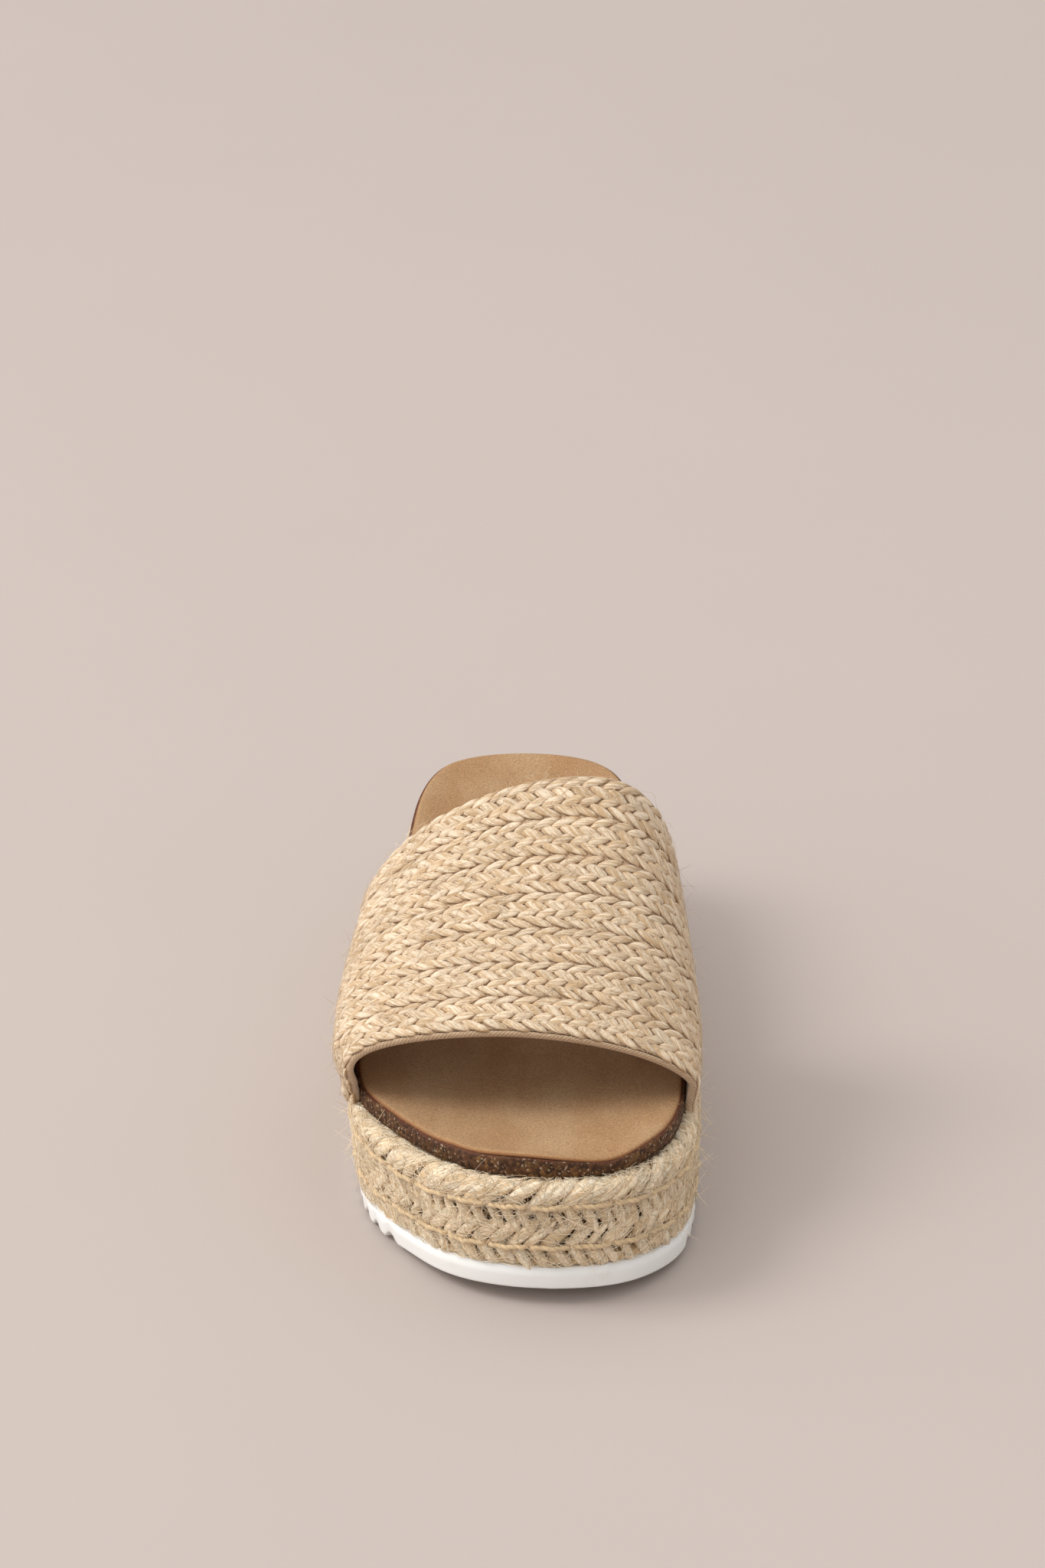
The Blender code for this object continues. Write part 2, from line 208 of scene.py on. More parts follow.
# Turned edge of the lining: how far it stands past the band's edge, and its depth under the band's face
LINING_EDGE = (
    # past_edge, depth
    (0.0001, 0.0009),
    (0.0007, 0.0015),
    (0.0009, 0.0023),
    (0.0006, 0.0028),
    (0.0000, 0.0030),
    (-0.0010, 0.0030),
)


def linear(red, green, blue):
    """Scene-linear colour of a display colour given as 0 to 255, by the sRGB curve."""
    share = np.array([red, green, blue]) / 255
    curved = ((share + 0.055) / 1.055) ** 2.4
    return tuple(float(value) for value in np.where(share > 0.04045, curved, share / 12.92))


def colour(name, description, red, green, blue):
    """Colour that a user can change; its default is a display colour."""
    return FloatVectorProperty(name=name, description=description, subtype="COLOR", size=3, min=0, max=1,
                               default=linear(red, green, blue))


def length(name, description, default):
    """Length in metres that a user can change."""
    return FloatProperty(name=name, description=description, default=default, unit="LENGTH", precision=5)


class EspadrilleBand(PropertyGroup):
    """Sizes and colours of the braided band"""

    leaf_pitch: length("Leaf pitch", "Distance between neighbouring leaves of one row of a braid", 0.0053)
    strand_width: length("Strand width", "Width of one flattened strand", 0.0035)
    strand_thickness: length("Strand thickness", "Thickness of one flattened strand", 0.0012)
    strand_lift: length("Strand lift", "How far a strand rises and dips as it passes over and under", 0.00028)
    yarn_twist: length("Yarn twist", "Length in which a strand's fibres turn once round it", 0.021)
    light: colour("Light yarn", "Lit fibres of the band", 231, 212, 186)
    dark: colour("Dark yarn", "Fibres in the furrows of the band", 194, 163, 124)
    lining: colour("Lining", "Cloth inside the band", 198, 168, 136)
    fibres: IntProperty(name="Loose fibres", description="Fibres that lie on the band", default=1100, min=0)
    hairs: IntProperty(name="Hairs", description="Fibres that stand off the band", default=220, min=0)


class EspadrilleWrap(PropertyGroup):
    """Sizes and colours of the platform's wrap"""

    strand_width: length("Strand width", "Width of one strand of the wrap", 0.0038)
    strand_thickness: length("Strand thickness", "Thickness of one strand of the wrap", 0.0022)
    strand_lift: length("Strand lift", "How far a strand rises and dips as it passes over and under", 0.0008)
    stitch: length("Stitch", "Length of one running stitch", 0.0125)
    cord: length("Stitch cord", "Diameter of the stitch cord", 0.0014)
    light: colour("Light yarn", "Lit fibres of the wrap", 255, 241, 216)
    dark: colour("Dark yarn", "Fibres in the furrows of the wrap", 221, 192, 151)
    # Painted shade: the backing's dark colour stands for the shade in the slits between the wrap's strands
    core: colour("Core", "Backing that shows through the gaps", 126, 97, 63)
    thread: colour("Thread", "Stitch cord", 200, 176, 140)
    fibres: IntProperty(name="Loose fibres", description="Fibres that lie on the wrap", default=6000, min=0)
    hairs: IntProperty(name="Hairs", description="Fibres that stand off the wrap", default=420, min=0)


class EspadrilleSole(PropertyGroup):
    """Colours of suede, cork and foam"""

    suede: colour("Suede", "Nap of the insole", 170, 138, 103)
    suede_dark: colour("Suede shade", "Brushed-down nap of the insole", 160, 124, 88)
    suede_edge: colour("Suede edge", "Cut edge of the insole", 140, 90, 56)
    cork: colour("Cork", "Ground of the cork", 73, 45, 24)
    cork_fleck: colour("Cork fleck", "Pale granules in the cork", 132, 97, 54)
    cork_chip: colour("Cork chip", "Palest crumbs in the cork", 196, 172, 146)
    cork_line: colour("Cork line", "Stained line under the insole's edge", 92, 47, 26)
    foam: colour("Foam", "White outsole", 243, 243, 241)
    foam_soil: colour("Foam soil", "Soiled places of the outsole", 222, 218, 210)


class EspadrilleStage(PropertyGroup):
    """Floor and light"""

    floor: colour("Floor", "Plain floor", 182, 171, 165)
    key_power: FloatProperty(name="Key light", description="Power of the soft key light", default=38.0,
                             unit="POWER")
    sky: FloatProperty(name="Sky", description="Strength of the soft light all round", default=1.03)


# Curves and levels of the sole


def curve_through(rows, column, at):
    """Natural cubic curve through one column of a table whose first column is the place along it."""
    table = np.asarray(rows, float)
    places = table[:, 0]
    values = table[:, column]
    at = np.asarray(at, float)
    steps = np.diff(places)
    slopes = np.diff(values) / steps
    system = np.eye(len(places))
    target = np.zeros(len(places))
    inner = np.arange(1, len(places) - 1)
    system[inner, inner - 1] = steps[:-1]
    system[inner, inner] = 2 * (steps[:-1] + steps[1:])
    system[inner, inner + 1] = steps[1:]
    target[inner] = 6 * np.diff(slopes)
    bend = np.linalg.solve(system, target)
    cell = np.clip(np.searchsorted(places, at) - 1, 0, len(steps) - 1)
    width = steps[cell]
    before = (places[cell + 1] - at) / width
    after = (at - places[cell]) / width
    straight = before * values[cell] + after * values[cell + 1]
    curved = (before**3 - before) * bend[cell] + (after**3 - after) * bend[cell + 1]
    return straight + curved * width**2 / 6


def station_of(behind_toe):
    """Stations run from 0 at the toe to 1 at the heel and crowd at both ends, where the outline turns."""
    share = np.clip(np.asarray(behind_toe, float) / INSOLE_LENGTH, 0, 1)
    return np.arccos(1 - 2 * share) / np.pi


def behind_toe_of(station):
    """Distance behind the toe tip at a station: half the insole's length times 1 - cos(pi * station)."""
    return INSOLE_LENGTH * (1 - np.cos(np.pi * np.asarray(station, float))) / 2


STATION_OUTLINE = [(float(station_of(place)), lateral, medial) for place, lateral, medial in OUTLINE]


def lateral_edge(station):
    """Lateral x of the insole's edge: the curve through the outline's points over their stations."""
    return curve_through(STATION_OUTLINE, 1, station)


def medial_edge(station):
    """Medial x of the insole's edge, by the same kind of curve."""
    return curve_through(STATION_OUTLINE, 2, station)


def level(name, behind_toe):
    """Value of one named column of LEVELS, by a curve through its rows."""
    return curve_through(LEVELS, LEVEL_COLUMNS[name], behind_toe)


def ease(share):
    """Smooth step from 0 to 1: 3 * share**2 - 2 * share**3 between them, and level outside."""
    share = np.clip(share, 0, 1)
    return share * share * (3 - 2 * share)


def swell(place, middle, reach):
    """Soft bump, 1 at the middle and falling off as the bell curve exp(-((place - middle) / reach)**2)."""
    return np.exp(-(((place - middle) / reach) ** 2))


def unit(vectors):
    """Vectors divided by their lengths."""
    return vectors / np.linalg.norm(vectors, axis=-1, keepdims=True)


def spring(behind_toe):
    """Height of the sole's underside: flat from the ball back, and curving up to the toe."""
    ahead = np.clip((SPRING_START - np.asarray(behind_toe, float)) / SPRING_START, 0, None)
    return TOE_SPRING * ahead**2


def wrap_bottom(behind_toe):
    """Height of the wrap's foot, just over the outsole."""
    return spring(behind_toe) + OUTSOLE_THICKNESS + SEAT_GAP


def wrap_top(behind_toe):
    """Height of the wrap's top: one height over the toe, which eases up to another at the heel."""
    share = ease((np.asarray(behind_toe, float) - WRAP_RISE_START) / (WRAP_RISE_END - WRAP_RISE_START))
    return wrap_bottom(behind_toe) + WRAP_HEIGHT_TOE + (WRAP_HEIGHT_HEEL - WRAP_HEIGHT_TOE) * share


# Shift from the tables to the frame: the insole's box gives the toe tip and the lateral extreme
INSOLE_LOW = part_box("insole")[0]
LATERAL_EXTREME = float(lateral_edge(np.linspace(0, 1, SOLE_STATIONS + 1)).min())
SHIFT = np.array([INSOLE_LOW.x - LATERAL_EXTREME, INSOLE_LOW.y, 0.0])

# Step for slopes round the outline, and radius of the wrap's top edge
TURN_STEP = 1e-4
TOP_ROUND = 0.0032

# Lateral side of the toe, where cork and suede draw back: how far, and where that grows, holds and fades
SLANT_DEPTH = 0.0030
SLANT_GROWS = 0.010
SLANT_HOLDS = 0.030
SLANT_FADES = 0.025


def fold(turn):
    """Station and side of a turn round the sole; the side is True past the heel, on the lateral side."""
    turn = np.mod(turn, 2.0)
    return np.where(turn > 1, 2 - turn, turn), turn > 1


def outline_at(turn):
    """Place of the insole's edge at a turn: its x, and its distance behind the toe."""
    station, lateral = fold(turn)
    x = np.where(lateral, lateral_edge(station), medial_edge(station))
    return np.stack([x, behind_toe_of(station)], -1)


def outwards_at(turn):
    """Unit vector across the outline, away from the sole."""
    along = unit(outline_at(turn + TURN_STEP) - outline_at(turn - TURN_STEP))
    return np.stack([along[..., 1], -along[..., 0]], -1)


def side_level(name, turn):
    """Value of the lateral or medial column of LEVELS, whichever side the turn is on."""
    station, lateral = fold(turn)
    behind_toe = behind_toe_of(station)
    return np.where(lateral, level("lateral_" + name, behind_toe), level("medial_" + name, behind_toe))


def side_offset(turn, height_share):
    """How far the platform's side stands out past the insole; height share is 0 at the floor, 1 on top."""
    return side_level("ledge", turn) - side_level("taper", turn) * (1 - height_share)


def toe_slant(turn):
    """How far cork and suede draw back at the toe's lateral side, where the last slants more than the sole.

    It eases in behind the toe tip over SLANT_GROWS, and eases out behind SLANT_HOLDS over SLANT_FADES.
    """
    station, lateral = fold(turn)
    behind_toe = behind_toe_of(station)
    share = ease(behind_toe / SLANT_GROWS) * (1 - ease((behind_toe - SLANT_HOLDS) / SLANT_FADES))
    return SLANT_DEPTH * np.where(lateral, share, 0.0)


def ring_at(turn, offset, heights):
    """Points at a distance outside the insole's edge, at given heights."""
    flat = outline_at(turn) + outwards_at(turn) * np.asarray(offset)[..., None]
    return np.concatenate([flat, np.broadcast_to(heights, flat.shape[:-1])[..., None]], -1) + SHIFT


def wall(turn, share, depth):
    """Point and outward normal on the wrap, at a depth under its face.

    Share 0 is the wrap's foot. The face is upright until it turns inwards over an arc of radius TOP_ROUND,
    whose top is at share 1, and past a quarter turn it runs level towards the cork.
    """
    turn, share = np.broadcast_arrays(np.asarray(turn, float), np.asarray(share, float))
    station, _ = fold(turn)
    behind_toe = behind_toe_of(station)
    low = wrap_bottom(behind_toe)
    height = wrap_top(behind_toe) - low
    corner = 1 - TOP_ROUND / height
    straight = np.minimum(share, corner)
    over = np.clip(share - corner, 0, None) * height
    angle = np.minimum(over / TOP_ROUND, np.pi / 2)
    level_run = over - angle * TOP_ROUND
    offset = side_offset(turn, OUTSOLE_SHARE + (1 - OUTSOLE_SHARE) * straight)
    offset = offset - TOP_ROUND * (1 - np.cos(angle)) - level_run
    outwards = outwards_at(turn)
    normal = np.concatenate([outwards * np.cos(angle)[..., None], np.sin(angle)[..., None]], -1)
    points = ring_at(turn, offset, low + height * straight + TOP_ROUND * np.sin(angle))
    return points - normal * np.broadcast_to(depth, turn.shape)[..., None], normal


def wall_axes(turn, normal):
    """Directions on the wrap: round the sole, and up its side."""
    outwards = outwards_at(turn)
    along = np.stack([-outwards[..., 1], outwards[..., 0], 0 * outwards[..., 0]], -1)
    return np.stack([along, np.cross(normal, along)], -2)


# Way round the wrap at half its height, and the share of it over which the front fades to the matted sides
LOOP_TURNS = np.linspace(0, 2, 2001)
LOOP_LINE = wall(LOOP_TURNS, 0.5, 0.0)[0]
LOOP_RUN = np.concatenate([[0], np.cumsum(np.linalg.norm(np.diff(LOOP_LINE, axis=0), axis=1))])
LOOP_LENGTH = float(LOOP_RUN[-1])
FRONT_REACH = 0.12


def turn_of(run):
    """Turn at a distance round the wrap from the toe."""
    return np.interp(np.mod(run, LOOP_LENGTH), LOOP_RUN, LOOP_TURNS)


def frontness(share):
    """Bell curve, 1 at the toe, that fades to both sides; share is the part of the way round the sole."""
    return swell(np.minimum(share, 1 - share), 0.0, FRONT_REACH)


# Face of the band

# Points of an arch and of a side, tuck of the feet, and the rows and columns of the face's grid
ARCH_SAMPLES = 60
SIDE_SAMPLES = 20
TUCK = 0.0025
FACE_ALONG = np.linspace(-0.08, 1.08, 117)
FACE_ACROSS = 241
NORMAL_REACH = 6

# Lateral front corner of the band, as depth, place across the band and reach: it curls in to the cork, is
# drawn in where the band is widest and pushed out at the foot. Then where these fade or grow along the band.
CORNER_CURL = (0.0036, 0.100, 0.065)
DRAWN_IN = (0.0010, 0.085, 0.040)
PUSHED_OUT = (0.0015, 0.016, 0.030)
CURL_FADES = 0.16
PUSH_GROWS = 0.10
TUCK_FADES = 0.45

# The same corner lies further forward and lower: its way, place and reach across, and where that fades
CORNER_WAY = (0.0, -0.0040, -0.0014)
CORNER_ACROSS = 0.09
CORNER_REACH = 0.08
CORNER_FADES = 0.35


def strap_rows(along):
    """Arches of the band's outer face, one row for each value of along, in equal steps from foot to foot.

    Above its widest height each side is a superellipse quarter from the crest. Below it the side eases in to
    its foot, and it ends tucked straight down by TUCK behind the wrap's top row.
    """
    columns = range(1, len(STRAP_ARCH[0]))
    arch = [curve_through(STRAP_ARCH, column, along)[:, None] for column in columns]
    crest_x, crest_place, crest_z, *feet = arch
    columns = range(1, len(STRAP_SIDES[0]))
    *sides, widest = [curve_through(STRAP_SIDES, column, along)[:, None] for column in columns]
    flares, squares = sides[:2], sides[2:]
    angle = np.linspace(0, np.pi / 2, ARCH_SAMPLES)
    drop = np.linspace(0, 1, SIDE_SAMPLES)[1:]
    halves = []
    for foot, flare, square, edge, sign in (
        (feet[0], flares[0], squares[0], lateral_edge, -1),
        (feet[1], flares[1], squares[1], medial_edge, 1),
    ):
        foot_x = edge(station_of(foot)) + sign * (CORK_OVER_INSOLE + SEAT_GAP + STRAP_WALL)
        foot_z = wrap_top(foot) + SEAT_GAP
        wide_x = foot_x + sign * flare
        wide_z = foot_z + widest
        arch_x = crest_x + (wide_x - crest_x) * np.sin(angle) ** (2 / square)
        arch_z = wide_z + (crest_z - wide_z) * np.abs(np.cos(angle)) ** (2 / square)
        x = np.concatenate([arch_x, wide_x + (foot_x - wide_x) * ease(drop), foot_x], 1)
        z = np.concatenate([arch_z, wide_z + (foot_z - wide_z) * drop, foot_z - TUCK], 1)
        place = crest_place + (foot - crest_place) * (crest_z - z) / (crest_z - foot_z)
        halves.append(np.stack([x, place, z], -1))
    paths = np.concatenate([halves[0][:, :0:-1], halves[1]], 1)
    steps = np.linalg.norm(np.diff(paths, axis=1), axis=2)
    runs = np.concatenate([np.zeros((len(along), 1)), np.cumsum(steps, axis=1)], 1)
    share = np.linspace(0, 1, FACE_ACROSS)
    rows = [[np.interp(share * run[-1], run, path[:, axis]) for axis in range(3)]
            for run, path in zip(runs, paths)]
    return np.array(rows).transpose(0, 2, 1) + SHIFT, runs[:, -1]


def foot_tuck(along, across):
    """Depth by which the band is drawn in at its lateral foot, where its front corner curls in to the cork.

    Each of the three is a bell curve across the band. The curl is greatest on the front edge, a tenth of the
    way from the lateral foot. Behind it the band is drawn in and pushed out a little, which fades over the
    front half.
    """
    bells = (CORNER_CURL, DRAWN_IN, PUSHED_OUT)
    curl, drawn_in, pushed_out = (depth * swell(across, middle, reach) for depth, middle, reach in bells)
    behind = (drawn_in - pushed_out * ease(along / PUSH_GROWS)) * (1 - ease(along / TUCK_FADES))
    return curl * ease(1 - along / CURL_FADES) + behind


def corner_shift(along, across):
    """Way by which the band's lateral front corner lies forward and lower: a bell curve, fading behind it."""
    share = swell(across, CORNER_ACROSS, CORNER_REACH) * (1 - ease(along / CORNER_FADES))
    return share[..., None] * np.array(CORNER_WAY)


def grid_normals(grid, reach):
    """Unit normals of a grid of points, each the mean of the normals within reach columns of it."""
    normals = unit(np.cross(np.gradient(grid, axis=1), np.gradient(grid, axis=0)))
    padded = np.pad(normals, ((0, 0), (reach, reach), (0, 0)), mode="edge")
    sums = np.cumsum(np.pad(padded, ((0, 0), (1, 0), (0, 0))), axis=1)
    return unit(sums[:, 2 * reach + 1:] - sums[:, :-2 * reach - 1])


FACE, FACE_RUN = strap_rows(FACE_ALONG)
FACE_PLACES = (FACE_ALONG[:, None], np.linspace(0, 1, FACE_ACROSS))
FACE -= grid_normals(FACE, 1) * foot_tuck(*FACE_PLACES)[..., None]
FACE += corner_shift(*FACE_PLACES)
FACE_TANGENT = np.gradient(FACE, axis=1)
FACE_NORMAL = grid_normals(FACE, NORMAL_REACH)
STRAP_LENGTH = float(np.linalg.norm(np.diff(FACE[:, FACE_ACROSS // 2], axis=0), axis=1).sum()
                     / (FACE_ALONG[-1] - FACE_ALONG[0]))


def between(table, row, column):
    """Bilinear value of a grid of vectors at fractional rows and columns."""
    row = np.clip(row, 0, table.shape[0] - 1.001)
    column = np.clip(column, 0, table.shape[1] - 1.001)
    i, j = row.astype(int), column.astype(int)
    u, v = (row - i)[..., None], (column - j)[..., None]
    near = table[i, j] * (1 - v) + table[i, j + 1] * v
    far = table[i + 1, j] * (1 - v) + table[i + 1, j + 1] * v
    return near * (1 - u) + far * u


def face(along, across, depth):
    """Point and normal of the band at a depth under its outer face; along and across run from 0 to 1."""
    along, across = np.broadcast_arrays(np.asarray(along, float), np.asarray(across, float))
    row = (along - FACE_ALONG[0]) / (FACE_ALONG[1] - FACE_ALONG[0])
    column = across * (FACE_ACROSS - 1)
    normal = unit(between(FACE_NORMAL, row, column))
    return between(FACE, row, column) - normal * np.broadcast_to(depth, along.shape)[..., None], normal


def face_axes(along, across, normal):
    """Directions on the band: across the foot, and from its front edge to its back edge."""
    row = (along - FACE_ALONG[0]) / (FACE_ALONG[1] - FACE_ALONG[0])
    first = unit(between(FACE_TANGENT, row, across * (FACE_ACROSS - 1)))
    return np.stack([first, np.cross(normal, first)], -2)


# Meshes from arrays


def make_mesh(name, points, quads, ends=(), attributes=None):
    """Object from an array of points, quads and end polygons; attributes are values for each point."""
    mesh = bpy.data.meshes.new(name)
    polygons = [np.asarray(quads, np.int32).reshape(-1, 4)]
    polygons += [np.asarray(end, np.int32) for end in ends if len(end)]
    sizes = np.concatenate([np.full(len(group), group.shape[1], np.int32) for group in polygons])
    corners = np.concatenate([group.ravel() for group in polygons])
    starts = np.concatenate([[0], np.cumsum(sizes)[:-1]]).astype(np.int32)
    mesh.vertices.add(len(points))
    mesh.vertices.foreach_set("co", np.asarray(points, np.float32).ravel())
    mesh.loops.add(len(corners))
    mesh.loops.foreach_set("vertex_index", corners)
    mesh.polygons.add(len(sizes))
    mesh.polygons.foreach_set("loop_start", starts)
    mesh.polygons.foreach_set("loop_total", sizes)
    mesh.polygons.foreach_set("use_smooth", np.ones(len(sizes), bool))
    for key, values in (attributes or {}).items():
        values = np.asarray(values, np.float32)
        kind = "FLOAT" if values.ndim == 1 else "FLOAT_VECTOR"
        field = "value" if values.ndim == 1 else "vector"
        mesh.attributes.new(key, kind, "POINT").data.foreach_set(field, values.ravel())
    mesh.update(calc_edges=True)
    mesh.validate()
    made = bpy.data.objects.new(name, mesh)
    bpy.context.scene.collection.objects.link(made)
    return made


def grid_quads(rows, columns):
    """Quads of a grid of points, which face up where its rows follow X and its columns follow Y."""
    index = np.arange(rows * columns).reshape(rows, columns)
    return np.stack([index[:-1, :-1], index[1:, :-1], index[1:, 1:], index[:-1, 1:]], -1).reshape(-1, 4)


def dress(made, material, slot, *nodes):
    """Gives a piece its material and its place on the one body; the slot is not used. It stands for the
    nodes.
    """
    made.data.materials.append(material)
    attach(made, BODY)
    if nodes:
        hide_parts(*nodes)
    return made


def strands(centres, normals, half_width, half_thickness, sides, twist, lobes, closed, offset=0.0,
            spread=None):
    """Flattened twisted strands: an oval with two lobes carried along each path.

    Paths are rows of centres with the normals of the face that they lie on. A ring's angle p gives the point
    centre + side * half_width * r * cos(p) + up * half_thickness * r * sin(p), where r is
    1 + lobes * cos(2 * (p - t)) and t turns once in each length of twist. The yarn attribute holds the
    straightened, untwisted strand, and deep how far a point lies under its centre line. Spread gives the
    centres' places on the unrolled face and its two axes, for the flat attribute.
    """
    paths, places = centres.shape[:2]
    if closed:
        ahead = np.roll(centres, -1, 1) - np.roll(centres, 1, 1)
        step = np.linalg.norm(np.roll(centres, -1, 1) - centres, axis=-1)
        run = np.concatenate([np.zeros((paths, 1)), np.cumsum(step, 1)[:, :-1]], 1)
        turns = np.round(step.sum(1) / twist)
        turned = 2 * np.pi * turns[:, None] * run / step.sum(1)[:, None]
    else:
        ahead = np.gradient(centres, axis=1)
        step = np.linalg.norm(np.diff(centres, axis=1), axis=-1)
        run = np.concatenate([np.zeros((paths, 1)), np.cumsum(step, 1)], 1)
        turned = 2 * np.pi * run / twist
    ahead = unit(ahead)
    side = unit(np.cross(normals, ahead))
    up = np.cross(ahead, side)
    p = np.linspace(0, 2 * np.pi, sides, endpoint=False)
    r = 1 + lobes * np.cos(2 * (p - turned[..., None]))
    half_width = np.broadcast_to(half_width, (paths, places))
    half_thickness = np.broadcast_to(half_thickness, (paths, places))
    wide = half_width[..., None] * r * np.cos(p)
    thick = half_thickness[..., None] * r * np.sin(p)
    points = centres[:, :, None] + side[:, :, None] * wide[..., None] + up[:, :, None] * thick[..., None]
    size = np.sqrt(half_width * half_thickness)
    spun = p - turned[..., None]
    first = np.broadcast_to(np.asarray(offset, float), (paths,))[:, None, None]
    yarn = np.stack([np.broadcast_to(run[..., None] + first, spun.shape),
                     size[..., None] * np.cos(spun), size[..., None] * np.sin(spun)], -1)
    index = np.arange(paths * places * sides).reshape(paths, places, sides)
    here = index if closed else index[:, :-1]
    there = np.roll(index, -1, 1) if closed else index[:, 1:]
    quads = np.stack([here, np.roll(here, -1, 2), np.roll(there, -1, 2), there], -1)
    ends = () if closed else (index[:, 0, ::-1], index[:, -1])
    marks = {"yarn": yarn.reshape(-1, 3), "deep": -thick.ravel()}
    if spread:
        places, axes = spread
        flat = places[:, :, None] + np.einsum("psic,psac->psia", points - centres[:, :, None], axes)
        marks["flat"] = np.concatenate([flat, 0 * flat[..., :1]], -1).reshape(-1, 3)
    return points.reshape(-1, 3), quads.reshape(-1, 4), ends, marks


def slab(rings, bottom_columns, top_columns, bottom_sag, top_sag):
    """Closed solid from rings, lowest first, with ladder-like sheets across its underside and its top.

    A ring starts at the toe and goes round by the heel, so that its points pair up across the sole. A sheet's
    row runs straight from the lateral to the medial point and sags by 4 * sag * w * (1 - w).
    """
    rings = np.asarray(rings)
    levels, count = rings.shape[:2]
    last = count // 2
    index = np.arange(levels * count).reshape(levels, count)
    turned = np.roll(index, -1, 1)
    faces = [np.stack([index[:-1], turned[:-1], turned[1:], index[1:]], -1).reshape(-1, 4)]
    points = [rings.reshape(-1, 3)]
    total = levels * count
    medial = np.arange(last + 1)
    lateral = (count - medial) % count
    tips = []
    sheets = ((0, bottom_columns, bottom_sag, False), (levels - 1, top_columns, top_sag, True))
    for edge, columns, sag, top in sheets:
        w = np.linspace(0, 1, columns + 1)[1:-1, None]
        low = rings[edge, lateral[1:-1], None]
        high = rings[edge, medial[1:-1], None]
        inner = low * (1 - w) + high * w
        inner[..., 2] -= sag[1:-1, None] * (4 * w * (1 - w))[:, 0]
        grid = np.empty((last - 1, columns + 1), int)
        grid[:, 0] = index[edge, lateral[1:-1]]
        grid[:, -1] = index[edge, medial[1:-1]]
        grid[:, 1:-1] = total + np.arange(inner[..., 0].size).reshape(last - 1, columns - 1)
        points.append(inner.reshape(-1, 3))
        total += inner[..., 0].size
        quads = np.stack([grid[:-1, :-1], grid[:-1, 1:], grid[1:, 1:], grid[1:, :-1]], -1).reshape(-1, 4)
        toe = np.stack([grid[0, :-1], np.full(columns, index[edge, 0]), grid[0, 1:]], -1)
        heel = np.stack([grid[-1, 1:], np.full(columns, index[edge, last]), grid[-1, :-1]], -1)
        faces.append(quads if top else quads[:, ::-1])
        tips.append(np.concatenate([toe, heel]) if top else np.concatenate([toe, heel])[:, ::-1])
    return np.concatenate(points), np.concatenate(faces), (np.concatenate(tips),)


def on_rings(values, rest, count):
    """Values for the count points of a slab: those given for its rings, then one value for its two sheets."""
    given = np.concatenate(values)
    return np.concatenate([given, np.full(count - len(given), rest)])


def drift(random, phase, waves, size):
    """Smooth random change round a closed loop: a few sine waves of whole numbers of turns."""
    total = np.zeros(np.broadcast(phase).shape)
    for wave in waves:
        total += np.sin(2 * np.pi * (wave * phase + random.random())) * random.normal()
    return size * total / np.sqrt(len(waves))


# Materials


class Nodes:
    """Short way to add nodes to a tree; an input may be a value or another node's output."""

    def __init__(self, tree):
        self.tree = tree

    def plug(self, socket, value):
        """Links an output to the socket, or sets the socket to a plain value."""
        if isinstance(value, bpy.types.NodeSocket):
            self.tree.links.new(value, socket)
        else:
            socket.default_value = value

    def add(self, kind, settings=None, **inputs):
        """New node; an input is named by its socket, or by i and the socket's number."""
        made = self.tree.nodes.new(kind)
        for key, value in (settings or {}).items():
            setattr(made, key, value)
        for key, value in inputs.items():
            numbered = key[0] == "i" and key[1:].isdigit()
            self.plug(made.inputs[int(key[1:]) if numbered else key], value)
        return made

    def maths(self, operation, first, second=0.0):
        """Result of one operation on two values."""
        return self.add("ShaderNodeMath", {"operation": operation}, i0=first, i1=second).outputs[0]

    def ramp(self, value, low, high, to_low=0.0, to_high=1.0):
        """Smooth step of a value from low to high, spread over to_low to to_high."""
        made = self.add("ShaderNodeMapRange", {"interpolation_type": "SMOOTHSTEP"}, Value=value)
        for key, number in (("From Min", low), ("From Max", high), ("To Min", to_low), ("To Max", to_high)):
            made.inputs[key].default_value = number
        return made.outputs[0]

    def noise(self, vector, scale, detail=2.0, roughness=0.5):
        """Soft noise with values about a half."""
        made = self.add("ShaderNodeTexNoise", None, Vector=vector, Scale=scale, Detail=detail,
                        Roughness=roughness)
        return made.outputs["Fac"]

    def mix(self, factor, first, second, blend="MIX"):
        """Two colours blended by a factor; the numbers are those of a Mix node's colour sockets."""
        made = self.add("ShaderNodeMix", {"data_type": "RGBA", "blend_type": blend})
        for number, value in ((0, factor), (6, first), (7, second)):
            plain = isinstance(value, (float, bpy.types.NodeSocket))
            self.plug(made.inputs[number], value if plain else (*value, 1.0)[:4])
        return made.outputs[2]

    def stretched(self, vector, scale):
        """Vector multiplied by a scale for each axis."""
        return self.add("ShaderNodeVectorMath", {"operation": "MULTIPLY"}, i0=vector, i1=scale).outputs[0]

    def attribute(self, name, output):
        """Value that the mesh holds for each point."""
        return self.add("ShaderNodeAttribute", {"attribute_name": name}).outputs[output]

    def group(self, tree, **inputs):
        """Outputs of a shared node group, placed with its own values."""
        return self.add("ShaderNodeGroup", {"node_tree": tree}, **inputs).outputs


def node_group(name, inputs, outputs):
    """Empty shader node group with its sockets, the nodes helper for it, and its ends."""
    tree = bpy.data.node_groups.new(name, "ShaderNodeTree")
    for key, kind in inputs:
        tree.interface.new_socket(key, in_out="INPUT", socket_type=kind)
    for key in outputs:
        tree.interface.new_socket(key, in_out="OUTPUT", socket_type="NodeSocketFloat")
    nodes = Nodes(tree)
    return tree, nodes, nodes.add("NodeGroupInput").outputs, nodes.add("NodeGroupOutput").inputs


VECTOR = "NodeSocketVector"
NUMBER = "NodeSocketFloat"


